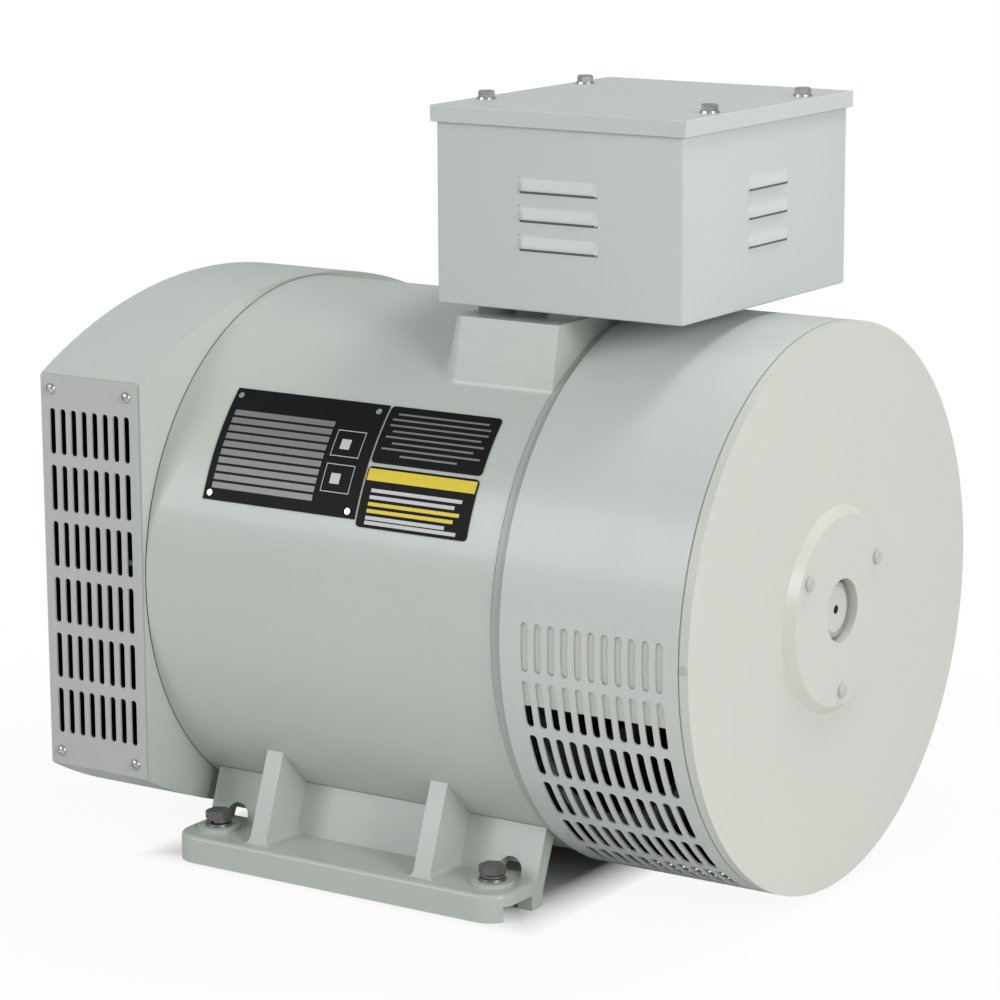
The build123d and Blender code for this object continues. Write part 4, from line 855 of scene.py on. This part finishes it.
def lid_sheet(low, high, gap, drop, material):
    """Flat top with four lips folded down, parted by a gap at each corner."""
    folded = bmesh.new()
    inner_x, inner_y = (low.x + gap, high.x - gap), (low.y + gap, high.y - gap)
    around = ((low.x, low.y), (high.x, low.y), (high.x, high.y), (low.x, high.y))
    top = [folded.verts.new((x, y, high.z)) for x, y in around]
    folded.faces.new(top)
    lips = (
        ((inner_x[0], low.y), (inner_x[1], low.y), top[0], top[1]),
        ((high.x, inner_y[0]), (high.x, inner_y[1]), top[1], top[2]),
        ((inner_x[1], high.y), (inner_x[0], high.y), top[2], top[3]),
        ((low.x, inner_y[1]), (low.x, inner_y[0]), top[3], top[0]),
    )
    for first, last, a, b in lips:
        foot_a = folded.verts.new((*first, high.z - drop))
        foot_b = folded.verts.new((*last, high.z - drop))
        folded.faces.new((foot_a, foot_b, b, a))
    bmesh.ops.recalc_face_normals(folded, faces=folded.faces)
    mesh = bpy.data.meshes.new("box_lid_sheet")
    folded.to_mesh(mesh)
    folded.free()
    return link("box_lid_sheet", mesh, material)


lid = lid_sheet(lid_low, lid_high, 0.8 * mm, lid_high.z - lid_low.z, sheet_enamel)
solid = lid.modifiers.new("wall", "SOLIDIFY")
solid.thickness, solid.offset = sheet, -1.0
bevel = lid.modifiers.new("bend", "BEVEL")
bevel.width, bevel.segments, bevel.limit_method, bevel.angle_limit = 0.9 * mm, 3, "ANGLE", math.radians(50)
settle(lid, "stator", "box_lid")

# %% Louvre tree
sizes = {"Length": 0.06, "Height": 0.01, "Out": 0.004, "Fade": 0.008, "Undercut": 0.002}
louvre_tree, v = start_tree("pressed_louvre", **sizes)
columns, rows = 41, 16
sheet_grid = flat_grid(louvre_tree, v["Length"], v["Height"], columns, rows)
at = add(louvre_tree, "GeometryNodeInputPosition")
across, up, _ = split(louvre_tree, at)
last = up / v["Height"] * -1.0 + 0.5
to_end = (v["Length"] / 2 - across.math("ABSOLUTE")) / v["Fade"]


def eased(tree, value):
    """Smooth step from 0 to 1."""
    node = tree.nodes.new("ShaderNodeMapRange")
    node.interpolation_type = "SMOOTHSTEP"
    plug(tree, node.inputs["Value"], value)
    return Field(tree, node.outputs["Result"])


lip = last.math("GREATER_THAN", 1 - 0.5 / (rows - 1))
swell = eased(louvre_tree, last * 1.12) * eased(louvre_tree, to_end).math("SQRT")
raised = swell * v["Out"] * (lip * -1.0 + 1.0)
folded_back = up + lip * (v["Height"] / (rows - 1) - v["Undercut"])
pressed = xyz(louvre_tree, across, folded_back, raised)
hooded = add(louvre_tree, "GeometryNodeSetPosition", {"Geometry": sheet_grid, "Position": pressed})
end_tree(louvre_tree, hooded, v["Finish"])

# %% Louvres on the four walls
box_middle = (body_low + body_high) / 2
lowest_louvre, louvre_step = 47.45 * mm, 19.6 * mm
louvre_heights = [body_low.z + lowest_louvre + louvre_step * i for i in range(3)]
facing_down = -0.4  # faces that turn down more than this get painted shade, under the lip of a louvre
walls = {
    "near": ((box_middle.x, body_low.y), (0, -1), 63 * mm),
    "far": ((box_middle.x, body_high.y), (0, 1), 63 * mm),
    "far_end": ((body_high.x, 0), (1, 0), 56 * mm),
    "drive_end": ((body_low.x, 0), (-1, 0), 56 * mm),
}
for name, ((x, y), (out_x, out_y), length) in walls.items():
    hoods = bmesh.new()
    one = grow(
        f"louvres_{name}", louvre_tree, sheet_enamel, at_origin,
        **{"Length": length, "Height": 10.0 * mm, "Out": 2.3 * mm, "Fade": 4.5 * mm, "Undercut": 2.0 * mm},
    )
    one.data.materials.append(louvre_painted_shade)
    for face in one.data.polygons:
        if face.normal.y < facing_down:
            face.material_index = 1
    frame_of_wall = Matrix(((-out_y, 0, out_x), (out_x, 0, out_y), (0, 1, 0))).to_4x4()
    for z in louvre_heights:
        copy = one.data.copy()
        copy.transform(Matrix.Translation((x, y, z)) @ frame_of_wall)
        hoods.from_mesh(copy)
        bpy.data.meshes.remove(copy)
    bmesh.ops.remove_doubles(hoods, verts=hoods.verts, dist=0.001 * mm)
    hoods.to_mesh(one.data)
    hoods.free()
    smooth(one, 50)
    settle(one, "stator")

# %% [markdown]
# ## Plates
# The rating plate and the two stickers are curved round the barrel. The print on them is generic: grey
# lines beside two small framed diagrams on the rating plate, grey lines on the upper sticker, and white and
# yellow lines under a yellow stripe on the lower one. A bitmap could carry it, but thin curved patches
# just above the plates stay sharp at any distance.

# %% Print on the plates
skin = frame_r + 0.95 * mm  # just proud of the plates


def printed(name, patches, material):
    """Thin printed patches on the plates, each (x0, x1, low angle, high angle) above the shaft, in degrees."""
    ink = bmesh.new()
    for x0, x1, low_angle, high_angle in patches:
        steps = max(1, round(high_angle - low_angle))
        rows = []
        for i in range(steps + 1):
            angle = math.radians(180 - low_angle - (high_angle - low_angle) * i / steps)
            y, z = skin * math.cos(angle), shaft_z + skin * math.sin(angle)
            rows.append([ink.verts.new((x, y, z)) for x in (x0, x1)])
        for (a, b), (c, d) in zip(rows, rows[1:]):
            ink.faces.new((a, b, d, c))
    mesh = bpy.data.meshes.new(name)
    ink.to_mesh(mesh)
    ink.free()
    piece = link(name, mesh, material)
    smooth(piece)
    settle(piece, "stator")
    print(name, "patches", len(patches))


plate_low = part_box("rating_plate")[0]
field_x0, field_x1 = plate_low.x + 6 * mm, plate_low.x + 93 * mm
top_line, line_step, line_width = 39.4, 1.78, 1.25  # degrees
tops = [top_line - i * line_step for i in range(10)]
bars = [(field_x0, field_x1, top - line_width, top) for top in tops]
printed("rating_plate_lines", bars, print_grey)
diagrams = [(plate_low.x + 104 * mm, plate_low.x + 112 * mm, a, a + 2.2) for a in (33.6, 26.2)]
diagrams += [(plate_low.x + 98 * mm, plate_low.x + 122 * mm, a, a + 0.16) for a in (37.6, 32.0, 30.2, 24.4)]
for x in (98, 121.5):
    diagrams += [(plate_low.x + x * mm, plate_low.x + (x + 0.5) * mm, a, a + 5.8) for a in (31.9, 24.4)]
printed("rating_plate_diagrams", diagrams, print_white)

upper_low, upper_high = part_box("label_plate_upper")
text = []
for row in range(8):
    angle = 43.0 - 1.32 * row
    indent = (8, 5, 5, 9, 5, 12, 5, 22)[row] * mm
    text.append((upper_low.x + indent, upper_high.x - indent, angle - 0.42, angle))
printed("label_upper_lines", text, print_grey)
text_x0, bar_width = upper_low.x + 7 * mm, 0.75  # bar width in degrees
white = []
for row, angle in enumerate((26.3, 24.9, 20.7, 19.7)):
    white.append((text_x0, upper_high.x - (9 + 5 * (row % 3)) * mm, angle - bar_width, angle))
printed("label_lower_lines", white, print_white)
yellow = [(upper_low.x + 1 * mm, upper_high.x - 1 * mm, 27.9, 30.4)]
for row, angle in enumerate((23.5, 22.1)):
    yellow.append((text_x0, upper_high.x - (9 + 4 * row) * mm, angle - bar_width, angle))
printed("label_lower_stripe", yellow, print_yellow)
